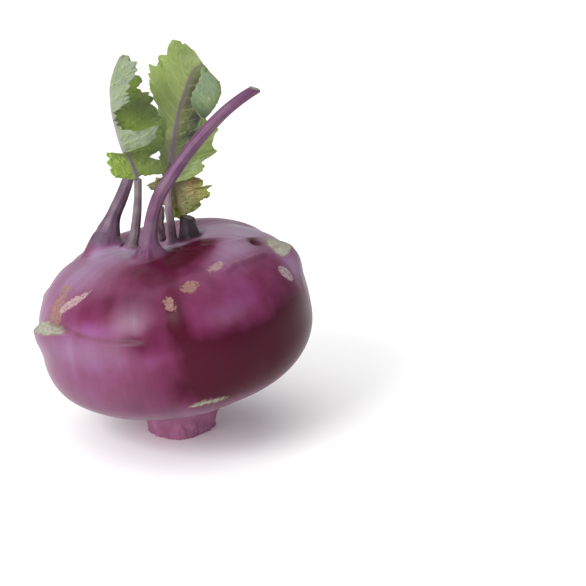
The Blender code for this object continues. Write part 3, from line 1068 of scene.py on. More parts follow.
    def add_lines(self, skin: SkinPlaces) -> tuple[Array, Array]:
        """Raises the skin to the ridges and steps.

        Args:
            skin: the places on the skin.

        Returns:
            How far they raise each place, and how much painted shade darkens it along their creases.
        """
        raised = np.zeros_like(skin.turn)
        painted_shade = np.zeros_like(skin.turn)
        for line in self.lines:
            best = np.full_like(skin.turn, np.inf)
            side = np.zeros_like(skin.turn)
            fade = np.zeros_like(skin.turn)
            for part, (start, end) in enumerate(zip(line.points, line.points[1:])):
                away, share, upward = self.beside(skin, start, end)
                nearer = away < best
                best = np.where(nearer, away, best)
                side = np.where(nearer, upward, side)
                done = (part + share) / (len(line.points) - 1)
                fade = np.where(nearer, ease(done * 6.0) * ease((1.0 - done) * 4.0), fade)
            step = line.step * side * (1.0 - np.exp(-best / line.width)) * bell(best / line.reach)
            raised += fade * (line.ridge * bell(best / line.width) + step)
            # The crease is darkened along its line as painted shade.
            painted_shade = np.maximum(painted_shade, fade * line.painted_shade * bell(best / (line.width * 0.8)))
        return raised, painted_shade

    def add_hollows(self, skin: SkinPlaces) -> Array:
        """Moves the skin to the valleys and swells.

        Args:
            skin: the places on the skin.

        Returns:
            How far they raise each place.
        """
        moved = np.zeros_like(skin.turn)
        for hollow in self.hollows:
            away, _, _ = self.beside(skin, hollow.start, hollow.end)
            moved += hollow.rise * bell(away / hollow.width)
        return moved

    def add_scuffs(self, skin: SkinPlaces) -> tuple[Array, Array, Array]:
        """Lays the scuffs over the skin.

        Args:
            skin: the places on the skin.

        Returns:
            The scuffs' field, which is 0 at the edge of one and more inside it, their age and their depth.
        """
        scuffed = np.full_like(skin.turn, -2.0)
        old = np.zeros_like(skin.turn)
        sunk = np.zeros_like(skin.turn)
        for scuff in self.scuffs:
            across = turn_from(skin.turn, scuff.azimuth) * skin.radius
            up = skin.arc - self.arc_at(scuff.height)
            tilt = math.radians(scuff.tilt)
            along = across * math.cos(tilt) + up * math.sin(tilt)
            over = up * math.cos(tilt) - across * math.sin(tilt)
            own = scuff.crispness * (1.0 - np.hypot(along / scuff.half_width, over / scuff.half_height))
            old = np.where(own > scuffed, scuff.old, old)
            scuffed = np.maximum(scuffed, own)
            sunk = np.maximum(sunk, scuff.sunk * ease(own + 0.2))
        return scuffed, old, sunk

    def add_necks(self, stem: Array, row_height: Array) -> tuple[Array, Array, Array, Array]:
        """Draws the crown up into the flared necks of the stalks.

        Args:
            stem: points about the stem's own axis.
            row_height: how high each point is, to keep the necks on the crown.

        Returns:
            The moved points, how far up a neck each is from 0 to 1, that neck's number and the turn
            about it.
        """
        radius, height, _ = self.profile()
        top = height > 0.0
        order = np.argsort(radius[top])
        moved = stem.copy()
        climbed = np.zeros(len(stem))
        owner = np.zeros(len(stem), dtype=int)
        around = np.zeros(len(stem))
        core = self.neck_core
        for number, stalk in enumerate(self.stalks):
            places = np.linspace(0.0, stalk.split, 120)
            path = route(stalk.path, places)
            centre = self.to_stem(path[:, :3])
            surface = np.interp(
                np.hypot(centre[:, 0], centre[:, 1]), radius[top][order], height[top][order]
            )
            # The neck starts where its path comes out of the crown.
            first = int(np.argmax(centre[:, 2] > surface))
            centre, sizes, places = centre[first:], path[first:, 3:5], places[first:]
            shares = np.linspace(0.0, 1.0, len(centre))
            wide = sizes[0] * stalk.spread
            off = (stem[:, :2] - centre[0, :2]) / wide
            away = np.hypot(off[:, 0], off[:, 1])
            outside = np.clip((away - core) / (1.0 - core), 0.0, 1.0)
            climb = (1.0 - outside) ** self.neck_climb
            near = (away < 1.0) & (row_height > 0.0)
            shift = np.stack([np.interp(climb, shares, line) for line in centre.T], 1) - centre[0]
            narrow = 1.0 - self.neck_waist * ease((climb - 0.5) / 0.5)
            size = np.stack([np.interp(climb, shares, line) * narrow for line in sizes.T], 1)
            reach = size + (wide - size) * (outside**self.neck_flare)[:, None]
            angle = np.arctan2(off[:, 1], off[:, 0])
            # The keel has a furrow beside it, and fades at the crown and at the stalk.
            from_keel = turn_from(angle, stalk.keel_turn)
            keel = bell(from_keel / 0.16) - 0.7 * bell((from_keel + 0.42) / 0.22)
            keel = stalk.keel * keel * ease(outside * 3.0) * ease((1.0 - outside) * 5.0)
            inside = np.minimum(away / core, 1.0)[:, None]
            spoke = off / np.maximum(away, 1e-9)[:, None] * (reach + keel[:, None]) * inside
            # The higher a point is on the neck, the more it stands square to the stalk's path.
            right, front = stalk.ways(np.interp(climb, shares, places))
            tilted = self.to_stem(right, True) * spoke[:, :1] - self.to_stem(front, True) * spoke[:, 1:]
            level = np.concatenate((spoke, np.zeros((len(spoke), 1))), axis=1)
            tilt = ease(climb * 1.3)[:, None]
            target = centre[0] + shift + tilted * tilt + level * (1.0 - tilt)
            target[:, 2] += (stem[:, 2] - centre[0, 2]) * (1.0 - climb)
            moved[near] = target[near]
            higher = near & (climb > climbed)
            owner = np.where(higher, number, owner)
            around = np.where(higher, angle, around)
            climbed = np.where(higher, climb, climbed)
        return moved, climbed, owner, around

    def underside(self, across: Array, depth: Array) -> Array:
        """Finds the plain underside over places on the floor.

        Args:
            across: how far each place is to the right.
            depth: how far it is to the back.

        Returns:
            How high the underside stands there.
        """
        radius, height, _ = self.profile()
        up = np.full_like(across, -self.drop)
        for _ in range(6):
            # Each round brings the place about the leaning axis nearer to the one asked for.
            own = (across + up * math.sin(self.lean)) / math.cos(self.lean)
            up = np.interp(np.hypot(own, depth), radius[height < 0.0], height[height < 0.0])
        return own * math.sin(self.lean) + up * math.cos(self.lean) + self.middle_height

    def add_root(self, points: Array, down: Array) -> tuple[Array, Array]:
        """Draws the underside down into the root stub, with its flat cut foot.

        Args:
            points: the stem's points.
            down: which of them are on its underside.

        Returns:
            The moved points, and how barky each is from 0 to 1.
        """
        reach = np.hypot(points[:, 0], points[:, 1])
        turn = np.arctan2(points[:, 1], points[:, 0])
        # The root is lobed and ribbed all round, with knobs of bark.
        uneven = 0.98 + 0.05 * (np.sin(3.0 * turn + 0.6) + 0.6 * np.sin(5.0 * turn + 2.0))
        uneven += 0.012 * np.sin(11.0 * turn + 0.4) + 0.010 * np.sin(17.0 * turn + 1.9)
        knobs = wander(turn * 1.3 + points[:, 2] * 0.05, 91, 6) * wander(reach * 0.11 + turn * 0.2, 92)
        uneven += 0.05 * np.clip(knobs, -0.4, 1.0)
        radii, heights = np.array(self.root_radii), np.array(self.root_heights)
        steps = np.concatenate(([0.0], np.cumsum(np.hypot(np.diff(radii), np.diff(heights)))))
        outer, inner = radii[-1], self.foot_radius
        place = np.clip((reach - inner) / (outer - inner), 0.0, 1.0) * steps[-1]
        wall = through(steps, heights, place)
        foot = reach < inner
        radius = np.where(foot, reach / inner * radii[0], through(steps, radii, place)) * uneven
        keep = ease((reach - self.root_blend[0]) / (self.root_blend[1] - self.root_blend[0]))
        radius = radius * (1.0 - keep) + reach * keep
        body = self.underside(radius * np.cos(turn), radius * np.sin(turn))
        fillet = self.root_fillet * np.exp(-np.abs(wall - body) / self.root_fillet) * 0.25
        low = np.where(wall < self.foot_wall, wall, np.minimum(wall, body) - fillet)
        rooted = wrapped(turn, radius, np.where(foot, 0.0, low * (1.0 - keep) + points[:, 2] * keep))
        near = down & (reach < outer)
        bark = ease((self.bark_fade[1] - reach) / (self.bark_fade[1] - self.bark_fade[0])) * near
        return np.where(near[:, None], rooted, points), bark

    def build(self, material: bpy.types.Material) -> bpy.types.Object:
        """Makes the stem.

        Args:
            material: its skin.

        Returns:
            The finished piece.
        """
        piece, turn, row = add_tube("swollen_stem", self.sides, self.rings)
        out_radius, out_height, out_arc = self.profile()
        # The rings stand closer at the crown, above the broadest part and at the root.
        dense = 1.0 + 1.2 * ((out_height > 0.0) & (out_radius < 32.0))
        dense += 0.5 * ((out_height > 8.0) & (out_radius > 36.0))
        dense += 0.8 * ((out_height < 0.0) & (out_radius < 27.0))
        spent = np.concatenate(([0.0], np.cumsum(np.diff(out_arc) * dense[1:])))
        arc = np.interp(row / self.rings * spent[-1], spent, out_arc)
        radius, height, upward, outward = (
            np.interp(arc, out_arc, line)
            for line in (
                out_radius, out_height, -np.gradient(out_radius, out_arc), np.gradient(out_height, out_arc),
            )
        )
        skin = SkinPlaces(turn, radius, height, arc)
        raised, scar = self.add_scars(skin)
        ridges, painted_shade = self.add_lines(skin)
        scuff, old, sunk = self.add_scuffs(skin)
        # Long waves keep the body from being quite round, and fine folds run in to the crown.
        uneven = 0.45 * np.sin(2.0 * turn + 0.7) * np.cos(arc * 0.05)
        uneven += 0.25 * np.sin(5.0 * turn + arc * 0.09) + 0.15 * np.sin(9.0 * turn - arc * 0.12)
        folds = 0.12 * wander(turn / TURN * 9.0, 5) * bell((radius - 17.0) / 9.0) * (height > 0.0)
        push = ridges + self.add_hollows(skin) - sunk + folds
        push += 0.5 * (uneven - 0.85) * ease(radius / 20.0)
        stem = wrapped(turn, radius + raised + push * outward, height + push * upward)
        stem, climbed, owner, around = self.add_necks(stem, height)
        points, bark = self.add_root(self.to_world(stem), height < 0.0)
        move_points(piece, points)
        # The creases' painted shade is taken off the tone.
        tone = self.plain_tone - painted_shade
        # The pale crown is wax bloom with painted highlight from the light above, and the pale foot wax bloom
        # with painted reflection of the floor.
        bloom = self.crown_bloom_and_highlight * ease((26.0 - radius) / 12.0) * (height > 0.0)
        bloom += self.foot_bloom_and_reflection * ease((-height - 8.0) / 16.0)
        # Many tints paint shade into the tone, and highlights and reflections into the bloom.
        for tint in self.tints:
            tone += tint.tone * tint.share(turn, height)
            bloom += tint.bloom * tint.share(turn, height)
        layers = {
            "scar": scar,
            "rim": np.clip(4.0 * scar * (1.0 - scar), 0.0, 1.0) * 0.7,
            "scuff": scuff,
            "old": old,
            "bark": bark,
            "tone": tone,
            "bloom": np.clip(bloom, 0.0, 0.8) * (1.0 - ease(climbed * 4.0)),
            "neck": ease(climbed * 2.2),
            "sleeve": wrapped(around, 3.2, climbed * 0.6),
            "rind_wax": np.array([stalk.skin.bloom_share for stalk in self.stalks])[owner],
            "fibre": wrapped(turn, 12.0, arc * 0.02),
        }
        for part in ("base", "shade", "bloom"):
            colours = np.array([linear(getattr(stalk.skin, part))[:3] for stalk in self.stalks])
            layers["rind_" + part] = colours[owner]
        paint(piece, layers)
        finish_piece(piece, material, ("bulb",))
        return piece


# ---------------------------------------------------------------- leaves


class LeafSide(Enum):
    """The two halves of a blade, seen with its upper side in front."""

    LEFT = -1
    RIGHT = 1


@dataclass(frozen=True)
class LeafTint:
    """A soft-edged region of a blade painted in another hue, which with DEEP is painted shade in folds and
    hollows.

    Its middle is a place along the midrib and a distance out to the right in millimetres.
    """

    hue: LeafHue
    place: float
    out: float
    half_place: float
    half_out: float
    share: float


@dataclass(frozen=True)
class Blade:
    """A leaf blade along its midrib.

    Attributes:
        midrib: points up the midrib.
        facing: (place, the way the upper side looks: 0 to the front and 90 to the right).
        left: stations of the left half (place, width, fold to the upper side, curl out to the margin,
            sweep towards the tip); angles in degrees and places from 0 at the foot to 1 at the tip.
        right: the same for the right half.
        rib: (place, how thick the rib stands on the underside).
        wave: height and number of the margin's waves.
        roll: where across the blade its curl begins and ends.
        tooth: depth of the margin's teeth.
        veins: places where side veins leave the midrib, to the left and to the right in turn.
        rings, columns, steps_across: rows along it, columns in each half and steps that bend it.
        thickness, pucker: its thickness and how far it puckers, in millimetres.
        fold_reach: how far out from the midrib the fold is done.
        rib_width, rib_stain, vein_width: how wide the rib, its colour and the side veins are.
        rolled_over: the curl in radians past which the margin is hidden and keeps shallow teeth.
    """

    name: str
    slot: str
    midrib: Table
    facing: Table
    left: Table
    right: Table
    rib: Table
    wave: tuple[float, float]
    roll: tuple[float, float]
    tooth: float
    veins: tuple[float, ...]
    seed: int
    tints: tuple[LeafTint, ...]
    rings: int = 260
    columns: int = 88
    steps_across: int = 160
    thickness: float = 0.45
    pucker: float = 0.25
    fold_reach: float = 1.8
    rib_width: float = 1.1
    rib_stain: float = 1.3
    vein_width: float = 0.42
    rolled_over: float = math.radians(150.0)

    def teeth(self, places: Array, side: LeafSide) -> Array:
        """Cuts the teeth of a margin.

        Args:
            places: places along the midrib.
            side: the half of the blade.

        Returns:
            How deep the margin is notched at each place, in millimetres.
        """
        draw = np.random.default_rng(self.seed + side.value)
        length = chords(self.midrib).sum()
        cuts, depths = [0.0], [0.0]
        while cuts[-1] < length:
            cuts.append(cuts[-1] + draw.uniform(0.8, 3.6))
            depths.append(self.tooth * draw.uniform(0.1, 1.2))
        cuts = np.array(cuts) / cuts[-1]
        index = np.clip(np.searchsorted(cuts, places, side="right") - 1, 0, len(cuts) - 2)
        within = (places - cuts[index]) / (cuts[index + 1] - cuts[index])
        skew = draw.uniform(0.7, 1.4, len(cuts))[index]
        return np.array(depths)[index + 1] * np.abs(np.cos(math.pi * within**skew)) ** 1.6

    def half(
        self, side: LeafSide, places: Array, spread: Array, base: tuple[Array, ...]
    ) -> tuple[Array, Array, Array]:
        """One half of the blade's middle surface, as rows from the midrib out.

        Args:
            side: which half.
            places: a place along the midrib for each row.
            spread: shares of the width, from 0 at the midrib to 1 at the margin.
            base: the midrib's points, its direction, the way across and the way up, for each row.

        Returns:
            The points, how far out each one is in millimetres and its share of the width.
        """
        middle, ahead, across, facing = base
        stations = self.right if side is LeafSide.RIGHT else self.left
        width, fold, curl, sweep = (column(stations, index, places) for index in range(1, 5))
        fold, curl, sweep = np.radians(fold), np.radians(curl), np.radians(sweep)
        # A margin that is rolled over has shallower teeth and waves than an open one.
        open_margin = np.clip(1.0 - np.abs(curl) / self.rolled_over, 0.0, 1.0)
        ends = ease(places * 12.0) * ease((1.0 - places) * 12.0)
        toothed = np.maximum(width - self.teeth(places, side) * (0.3 + 0.7 * open_margin) * ends, 0.3)
        out = toothed[:, None] * np.linspace(0.0, 1.0, self.steps_across + 1)
        rolled = ease((out / width[:, None] - self.roll[0]) / (self.roll[1] - self.roll[0]))
        angle = fold[:, None] * ease(out / self.fold_reach) + curl[:, None] * rolled
        step = toothed[:, None] / self.steps_across
        level, raised = (
            (np.cumsum(way, axis=1) - 0.5 * (way + way[:, :1])) * step
            for way in (np.cos(angle), np.sin(angle))
        )
        size, count = self.wave
        number = side.value
        wide = np.maximum(width, 6.0)[:, None]
        waves = size * open_margin * np.sin(TURN * count * places + number)
        ruffle = wander(places * 7.0, self.seed + 20 + 7 * number)
        ruffle = 0.45 * size * (0.3 + 0.7 * open_margin) * ruffle
        ripple = waves[:, None] * (out / wide) ** 2 + ruffle[:, None] * (out / wide) ** 3
        level = level - ripple * np.sin(angle)
        raised = raised + ripple * np.cos(angle)
        sheet = (
            middle[:, None, :]
            + (number * level * np.cos(sweep)[:, None])[:, :, None] * across[:, None, :]
            + (raised * np.cos(sweep)[:, None])[:, :, None] * facing[:, None, :]
            + (out * np.sin(sweep)[:, None])[:, :, None] * ahead[:, None, :]
        )
        # The bent rows have more steps than the mesh has columns.
        picks = spread * self.steps_across
        lower = np.minimum(picks.astype(int), self.steps_across - 1)
        part = (picks - lower)[None, :, None]
        points = sheet[:, lower] * (1.0 - part) + sheet[:, lower + 1] * part
        return points, toothed[:, None] * spread, np.broadcast_to(spread, points.shape[:2])

    def vein_mask(self, places: Array, out: Array, share: Array, side: LeafSide) -> Array:
        """Draws the side veins of one half of the blade.

        Args:
            places: a place along the midrib for each row.
            out: how far out each point is in millimetres.
            share: its share of the width.
            side: which half.

        Returns:
            How near each point is to a vein, up to 1 on it.
        """
        length = chords(self.midrib).sum()
        mask = np.zeros_like(out)
        own = self.veins[0::2] if side is LeafSide.LEFT else self.veins[1::2]
        for number, place in enumerate(own):
            bend = 1.6 * np.sin(out / 5.0 + number) * share
            off = (places[:, None] - place) * length - 3.0 * share**2 - bend
            thin = self.vein_width * (1.0 - 0.55 * share)
            mask = np.maximum(mask, bell(off / thin) * (1.0 - share**4))
        return mask

    def build(self, material: bpy.types.Material) -> bpy.types.Object:
        """Makes the blade with its thickness, its rib and its veins.

        Args:
            material: the leaf's finish.

        Returns:
            The finished piece.
        """
        sides = 4 * self.columns
        piece, turn, row = add_tube("blade_of_" + self.name, sides, self.rings)
        places = np.arange(self.rings + 1) / self.rings
        middle = route(self.midrib, places)
        ahead, right, front = frames(middle)
        facing_turn = np.radians(column(self.facing, 1, places))[:, None]
        facing = np.cos(facing_turn) * front + np.sin(facing_turn) * right
        across = np.cos(facing_turn) * right - np.sin(facing_turn) * front
        spread = np.linspace(0.0, 1.0, self.columns + 1) ** 1.15
        # The halves lie side by side, from the left margin over the midrib to the right one.
        halves = []
        for side in LeafSide:
            sheet, out, share = self.half(side, places, spread, (middle, ahead, across, facing))
            vein = self.vein_mask(places, out, share, side)
            if side is LeafSide.LEFT:
                sheet, out, share, vein = (part[:, :0:-1] for part in (sheet, -out, share, vein))
            halves.append((sheet, out, share, vein))
        sheet, out, share, vein = (np.concatenate(parts, axis=1) for parts in zip(*halves))
        upper = unit(np.cross(np.gradient(sheet, axis=1), np.gradient(sheet, axis=0)))
        length = chords(self.midrib).sum()
        bumps = wander(places * length / 5.0, self.seed + 11, 4)[:, None]
        bumps = bumps * wander(out / 5.0 + 0.4 * places[:, None], self.seed + 12, 4)
        veined = vein * ease(np.abs(out) / 2.5)
        sheet = sheet + upper * (self.pucker * bumps * ease(np.abs(out) / 3.0) - 0.15 * veined)[:, :, None]
        rib_height = column(self.rib, 1, places)[:, None] * bell(out / self.rib_width)
        rim = np.sqrt(np.clip(1.0 - share**10, 0.02, 1.0)) * self.thickness / 2.0
        top = sheet + upper * rim[:, :, None]
        under = sheet - upper * (rim + rib_height * 0.8 + 0.12 * veined)[:, :, None]
        # Each ring of the tube runs over the upper side and back below it.
        loop = np.concatenate((top[:, :-1], under[:, :0:-1]), axis=1)
        loop[[0, -1]] = loop[[0, -1]].mean(axis=1, keepdims=True)
        number = np.round((turn + math.pi) / TURN * sides).astype(int) % sides
        level = np.clip(row, 0, self.rings).astype(int)
        move_points(piece, loop[level, number])
        wide = sheet.shape[1]
        above = number < wide - 1
        back = np.where(above, number, 2 * (wide - 1) - number)
        rib = np.exp(-((out / (self.rib_stain * (1.05 - 0.75 * places))[:, None]) ** 4))
        layers = {
            "side": above.astype(float),
            "vein": vein[level, back],
            "rib": rib[level, back] * (1.0 - 0.3 * places[level]),
            "flat": np.stack((out[level, back], places[level] * length, np.where(above, 0.0, 50.0)), 1),
        }
        for hue in LeafHue:
            stain = np.zeros_like(out)
            for tint in self.tints:
                if tint.hue is hue:
                    away = ((places[:, None] - tint.place) / tint.half_place) ** 2
                    away = away + ((out - tint.out) / tint.half_out) ** 2
                    stain = np.maximum(stain, tint.share * np.exp(-away))
            layers[hue.value] = stain[level, back]
        paint(piece, layers)
        finish_piece(piece, material, (self.name,))
        return piece


@dataclass(frozen=True)
class CrownBud:
    """The dried young leaf folded in the middle of the crown, with its path as a stalk's."""

    path: Table = (
        (-4.7, -2.6, 72.4, 1.3, 1.1),
        (-4.9, -2.8, 77.5, 1.5, 1.1),
        (-4.7, -2.4, 81.5, 1.1, 0.8),
        (-4.4, -2.0, 85.5, 0.6, 0.5),
    )
    rings: int = 70
    sides: int = 40

    def build(self, material: bpy.types.Material) -> bpy.types.Object:
        """Makes the bud as a pinched and furrowed slip.

        Args:
            material: the dried leaf's finish.

        Returns:
            The finished piece.
        """
        piece, turn, row = add_tube("dried_crown_bud", self.sides, self.rings)
        places = row / self.rings
        stations = route(self.path, places)
        size = np.sqrt(np.clip(1.0 - np.abs(2.0 * places - 1.0) ** 12, 0.0, 1.0))
        size = size * (1.0 - 0.25 * np.abs(np.sin(2.5 * turn + 5.0 * places)) + 0.1 * np.sin(21.0 * places))
        points = stations[:, :3].copy()
        points[:, 0] += stations[:, 3] * np.cos(turn) * size + 0.3 * np.sin(9.0 * places)
        points[:, 1] += stations[:, 4] * np.sin(turn) * size
        move_points(piece, points)
        paint(piece, {"fibre": wrapped(turn, 2.0, places), "cut": np.zeros(len(points))})
        finish_piece(piece, material, ("crown_bud",))
        return piece


# ---------------------------------------------------------------- this kohlrabi

SCARS = (
    LeafScar(-151.5, 16.4, 12.6, 4.2, face=3, bow=0.8, slant=0.12),
    LeafScar(-3.8, 24.7, 6.6, 4, face=4.4, bow=0.8, slant=0.1), LeafScar(128, 18.5, 11.5, 3.2),
    LeafScar(62, 5, 12.5, 3.2), LeafScar(-76, -12, 8.5, 1.2, face=1.3), LeafScar(158, -4, 12.5, 3),
)
# The last number of each line is its painted shade; it darkens the crease from the left scar.
LINES = (
    SkinLine(
        ((-156, 20.2), (-137.2, 18.8), (-124.5, 17.1), (-115.2, 16.1), (-103.2, 15.9), (-93, 14.4)),
        1, -0.5, -0.4, 4.5, 0.15,
    ),
    SkinLine(((-15, 26.6), (-28, 28), (-42, 29), (-54.5, 28.6)), 1, 0.9, 0.55, 5, 0),
    SkinLine(((2, 28.2), (-12, 31.4), (-32, 33.4), (-60, 34.2)), 1, 0.85, 0, 5, 0),
    SkinLine(((110, 19.5), (88, 21.5), (70, 22)), 1, 0.5, 0.35, 6, 0),
    SkinLine(((146, 19), (165, 20.5), (182, 20)), 1, 0.5, -0.4, 6, 0),
    SkinLine(((44, 6), (22, 8), (8, 7)), 1, 0.4, -0.4, 7, 0),
)
SCUFFS = (
    Scuff(-150, 24.2, 3.6, 6.2, -12, 0.85, 0.3), Scuff(-139.5, 26.2, 1.9, 8.2, -45, 0.3, 0.25, 1.7),
    Scuff(-146, 21, 2.2, 3, -20, 0.85, 0.25), Scuff(-152, 28.6, 3.2, 1.6, 0, 0.8, 0.35),
    Scuff(-83.8, 24.9, 1.8, 3.2, 12, 0.8, 0.25, 1), Scuff(-72, 27.7, 3.1, 2.5, 8, 0.85, 0.2),
    Scuff(-51.5, 30.4, 4, 1.6, 10, 0.5, 0.1, 0.9), Scuff(-18.5, 19.3, 2.5, 3.9, 25, 0, 0.3, 4),
    Scuff(40, 22, 2.2, 1.4, 20, 0.3), Scuff(86, 12, 1.2, 3.4, -12, 0.5), Scuff(150, -6, 2.6, 1.2, 5, 0.2),
)
HOLLOWS = (
    Hollow((-11.6, 30), (-10.4, 30.2), 1.3, -1), Hollow((-89, 29), (-82, -6), 5.5, -0.75),
    Hollow((-104, 31), (-101, 8), 5.5, 0.45), Hollow((-70, 30), (-66, 6), 6.5, 0.5),
    Hollow((-52, 24), (-48, -4), 4, -0.35), Hollow((-140, 31), (-134, 20), 4, -0.5),
    Hollow((25, 30), (32, -5), 6, -0.8), Hollow((95, 30), (90, -8), 6, -0.9),
    Hollow((160, 30), (150, 0), 5, -0.7),
)
# Many of these tints paint light and shade. The dark ones at the lower front and the right (-52, -77, -20, 6)
# are painted shade over a deeper burgundy. Those at -82.5 and -97 darken the front hollow and the crease's
# end below the highlight as painted shade. The narrow dark bands under the crown's rim (-82, -55, -30) and
# the dark pit at -11 are painted shade. The pale bloom at -102 is a painted highlight. The bloom on the
# shoulders (-150, -5) is wax bloom with painted highlight from above, and that at the right edge below the
# right scar (-7.5) is wax bloom with painted reflection.
TINTS = (
    Tint(-135, 12, 36, 6.5, 0.1, 0.32), Tint(-132, -6, 50, 12, -0.03, 0.16), Tint(-122, 19.5, 14, 2.6, 0.2),
    Tint(-152, 26, 12, 9, 0.05, 0.22), Tint(-112, 26.5, 22, 6, -0.17, -0.04),
    Tint(-84, 29, 20, 5, -0.1, 0.06), Tint(-82, 32.6, 36, 2, -0.22, -0.25),
    Tint(-102, 21.5, 9, 5, 0.08, 0.34), Tint(-82.5, 20, 5, 7, -0.42, -0.25),
    Tint(-52, -1.6, 35, 11.8, -0.8, -0.3, edge=1.4), Tint(-77, 10, 8, 6, -0.3, -0.1),
    Tint(-60, 17, 10, 4, 0.1, 0.14), Tint(-20, 4, 14, 11, -0.36, -0.2), Tint(6, 0, 30, 17, -0.24, -0.1),
    Tint(-7.5, 17.5, 8.5, 6.5, 0.2, 0.65), Tint(-97, 15, 8, 5, -0.22, -0.22),
    Tint(-55, 33.9, 24, 1, -0.38, -0.55), Tint(-11, 30.1, 3.6, 1.2, -1, -0.8),
    Tint(-176, 33.8, 14, 0.5, 0.3, 0.55), Tint(-30, 34.1, 14, 0.6, -0.45, -0.6),
    Tint(-100, 34.4, 18, 0.3, 0.05, 0.4), Tint(-35, 32, 26, 2.5, 0.12, 0.1),
    Tint(-150, 32.5, 34, 4, 0.08, 0.36), Tint(-5, 32, 44, 3.5, 0.05, 0.62), Tint(10, 22, 16, 16, 0, 0.5),
    Tint(60, -2, 45, 16, 0.25, 0.2), Tint(120, 10, 25, 14, -0.25), Tint(170, 20, 30, 12, 0.1, 0.1),
)
PURPLE_RIND = StalkSkin("purple stalk rind", cut="#74796a")
GREY_RIND = StalkSkin(
    "grey purple stalk rind", base="#563751", shade="#33202f", bloom="#74616f", bloom_share=0.35
)
# The thin stalk's rind is painted lighter, as painted light against the shade that the front stalk casts on
# it.
THIN_RIND_PAINTED_LIGHTER = StalkSkin("thin stalk rind painted lighter", base="#755868", shade="#4a3542", bloom="#988990", bloom_share=0.35)
DUSKY_RIND = StalkSkin(
    "dusky stalk rind", base="#66525c", shade="#43333c", bloom="#847a7d", bloom_share=0.35
)
# The dried stump is dark, and its rind is painted near black besides as painted shade behind the leaves; its
# neck on the stem takes these colours too.
STUMP_RIND_IN_PAINTED_SHADE = StalkSkin(
    "dried stump rind in painted shade", base="#2b1a26", shade="#170e14", bloom="#43343e", bloom_share=0.2, cut="#575145"
)
DRIED_BUD = StalkSkin("dried bud", base="#4c3a42", shade="#2a1c22", bloom="#75655f", gloss=0.8)
GREEN_LEAF = LeafFlesh(
    "green young leaf",
    upper="#6f8236", upper_deep="#4c6228", under="#757f6b", under_deep="#65745b",
    vein="#8b9a66", rib="#837880", patch="#7f8c48", patch_share=0.2,
    hues=("#93b03c", "#665a42", "#2f3d20"),
)
OLIVE_LEAF = LeafFlesh(
    "olive young leaf",
    upper="#75853b", upper_deep="#627432", under="#647858", under_deep="#54694b",
    vein="#8b9a66", rib="#5f4c5a", patch="#808a45", patch_share=0.3, vein_share=0.3,
    hues=("#849c3e", "#40332a", "#151c0e"),
)
YELLOW_LEAF = LeafFlesh(
    "yellowing leaf",
    upper="#7b803c", upper_deep="#626934", under="#7c7346", under_deep="#665f38",
    vein="#958a5c", rib="#85735a", patch="#7a5f45", patch_share=0.4,
    hues=("#93993c", "#94784e", "#3c3a22"),
)
STALKS = (
    Stalk(
        name="stalk_left", skin=GREY_RIND, split=0.3, spread=1.35,
        path=(
            (-26.6, 4.4, 64.5, 9.4, 5.2), (-25.7, 5.4, 68.8, 7.4, 4), (-24.4, 6.6, 73.4, 4.4, 3.1),
            (-22.2, 8, 79.7, 2.6, 2.5), (-19.8, 9, 85, 2.4, 2.4), (-17.8, 9.8, 90.1, 2.2, 2.2),
            (-15.9, 10.4, 95.6, 1.8, 1.8),
        ),
    ),
    Stalk(
        name="stalk_left_leaf", skin=DUSKY_RIND, split=0.22,
        path=(
            (-17, 0.2, 65.5, 3.9, 3.4), (-16.3, 0.7, 68.4, 3, 2.6), (-15.4, 1, 71.3, 2.1, 1.9),
            (-14.3, 1, 76, 1.75, 1.7), (-13.4, 0.5, 83.2, 1.6, 1.6), (-13, 0, 88.9, 1.4, 1.4),
            (-12.8, -0.4, 95.2, 1.4, 1.4),
        ),
    ),
    Stalk(
        name="stalk_front", skin=PURPLE_RIND, split=0.13, spread=1.7, keel=0.9, cut_lean=(-0.5, -0.3, 0.7),
        path=(
            (-8, -14, 66.5, 7, 5.6), (-8, -14.9, 70.2, 5.9, 4.4), (-8.1, -15, 73.6, 4.6, 3.5),
            (-8.2, -14.6, 77.2, 3.1, 2.8), (-7.8, -14.2, 80.9, 2.6, 2.5), (-6.8, -13.8, 86.3, 2.4, 2.4),
            (-4.6, -13.2, 92.6, 2.35, 2.35), (-0.7, -12.6, 99, 2.3, 2.3), (4.9, -11.8, 107, 2.2, 2.2),
            (11.9, -11, 115.3, 2.15, 2.15), (18.9, -10, 122.3, 2, 2), (25.6, -9.1, 127.4, 1.85, 1.85),
            (29.4, -8.5, 129.6, 1.7, 1.7),
        ),
    ),
    Stalk(
        name="stalk_middle_leaf", skin=THIN_RIND_PAINTED_LIGHTER, split=0.2,
        path=(
            (-0.9, 1.6, 66.5, 3.4, 3.2), (-1.1, 2, 69.6, 2.4, 2.3), (-1.3, 2.3, 72.9, 1.65, 1.65),
            (-1.8, 2.8, 78, 1.5, 1.5), (-2.5, 3.6, 83, 1.45, 1.45), (-2.5, 4.6, 87.9, 1.42, 1.42),
            (-2.1, 5.2, 92.4, 1.42, 1.42),
        ),
    ),
    Stalk(
        name="stalk_stump", skin=STUMP_RIND_IN_PAINTED_SHADE, split=0.6, cut_lean=(0.25, -0.2, 0),
        path=(
            (5.4, -0.8, 67, 6.4, 5), (5.2, -0.6, 71.2, 4.9, 4.2), (4.9, -0.3, 75, 3.7, 3.5),
            (4.5, 0.2, 78.1, 3, 3), (4.3, 0.6, 80.8, 2.7, 2.7),
        ),
    ),
)
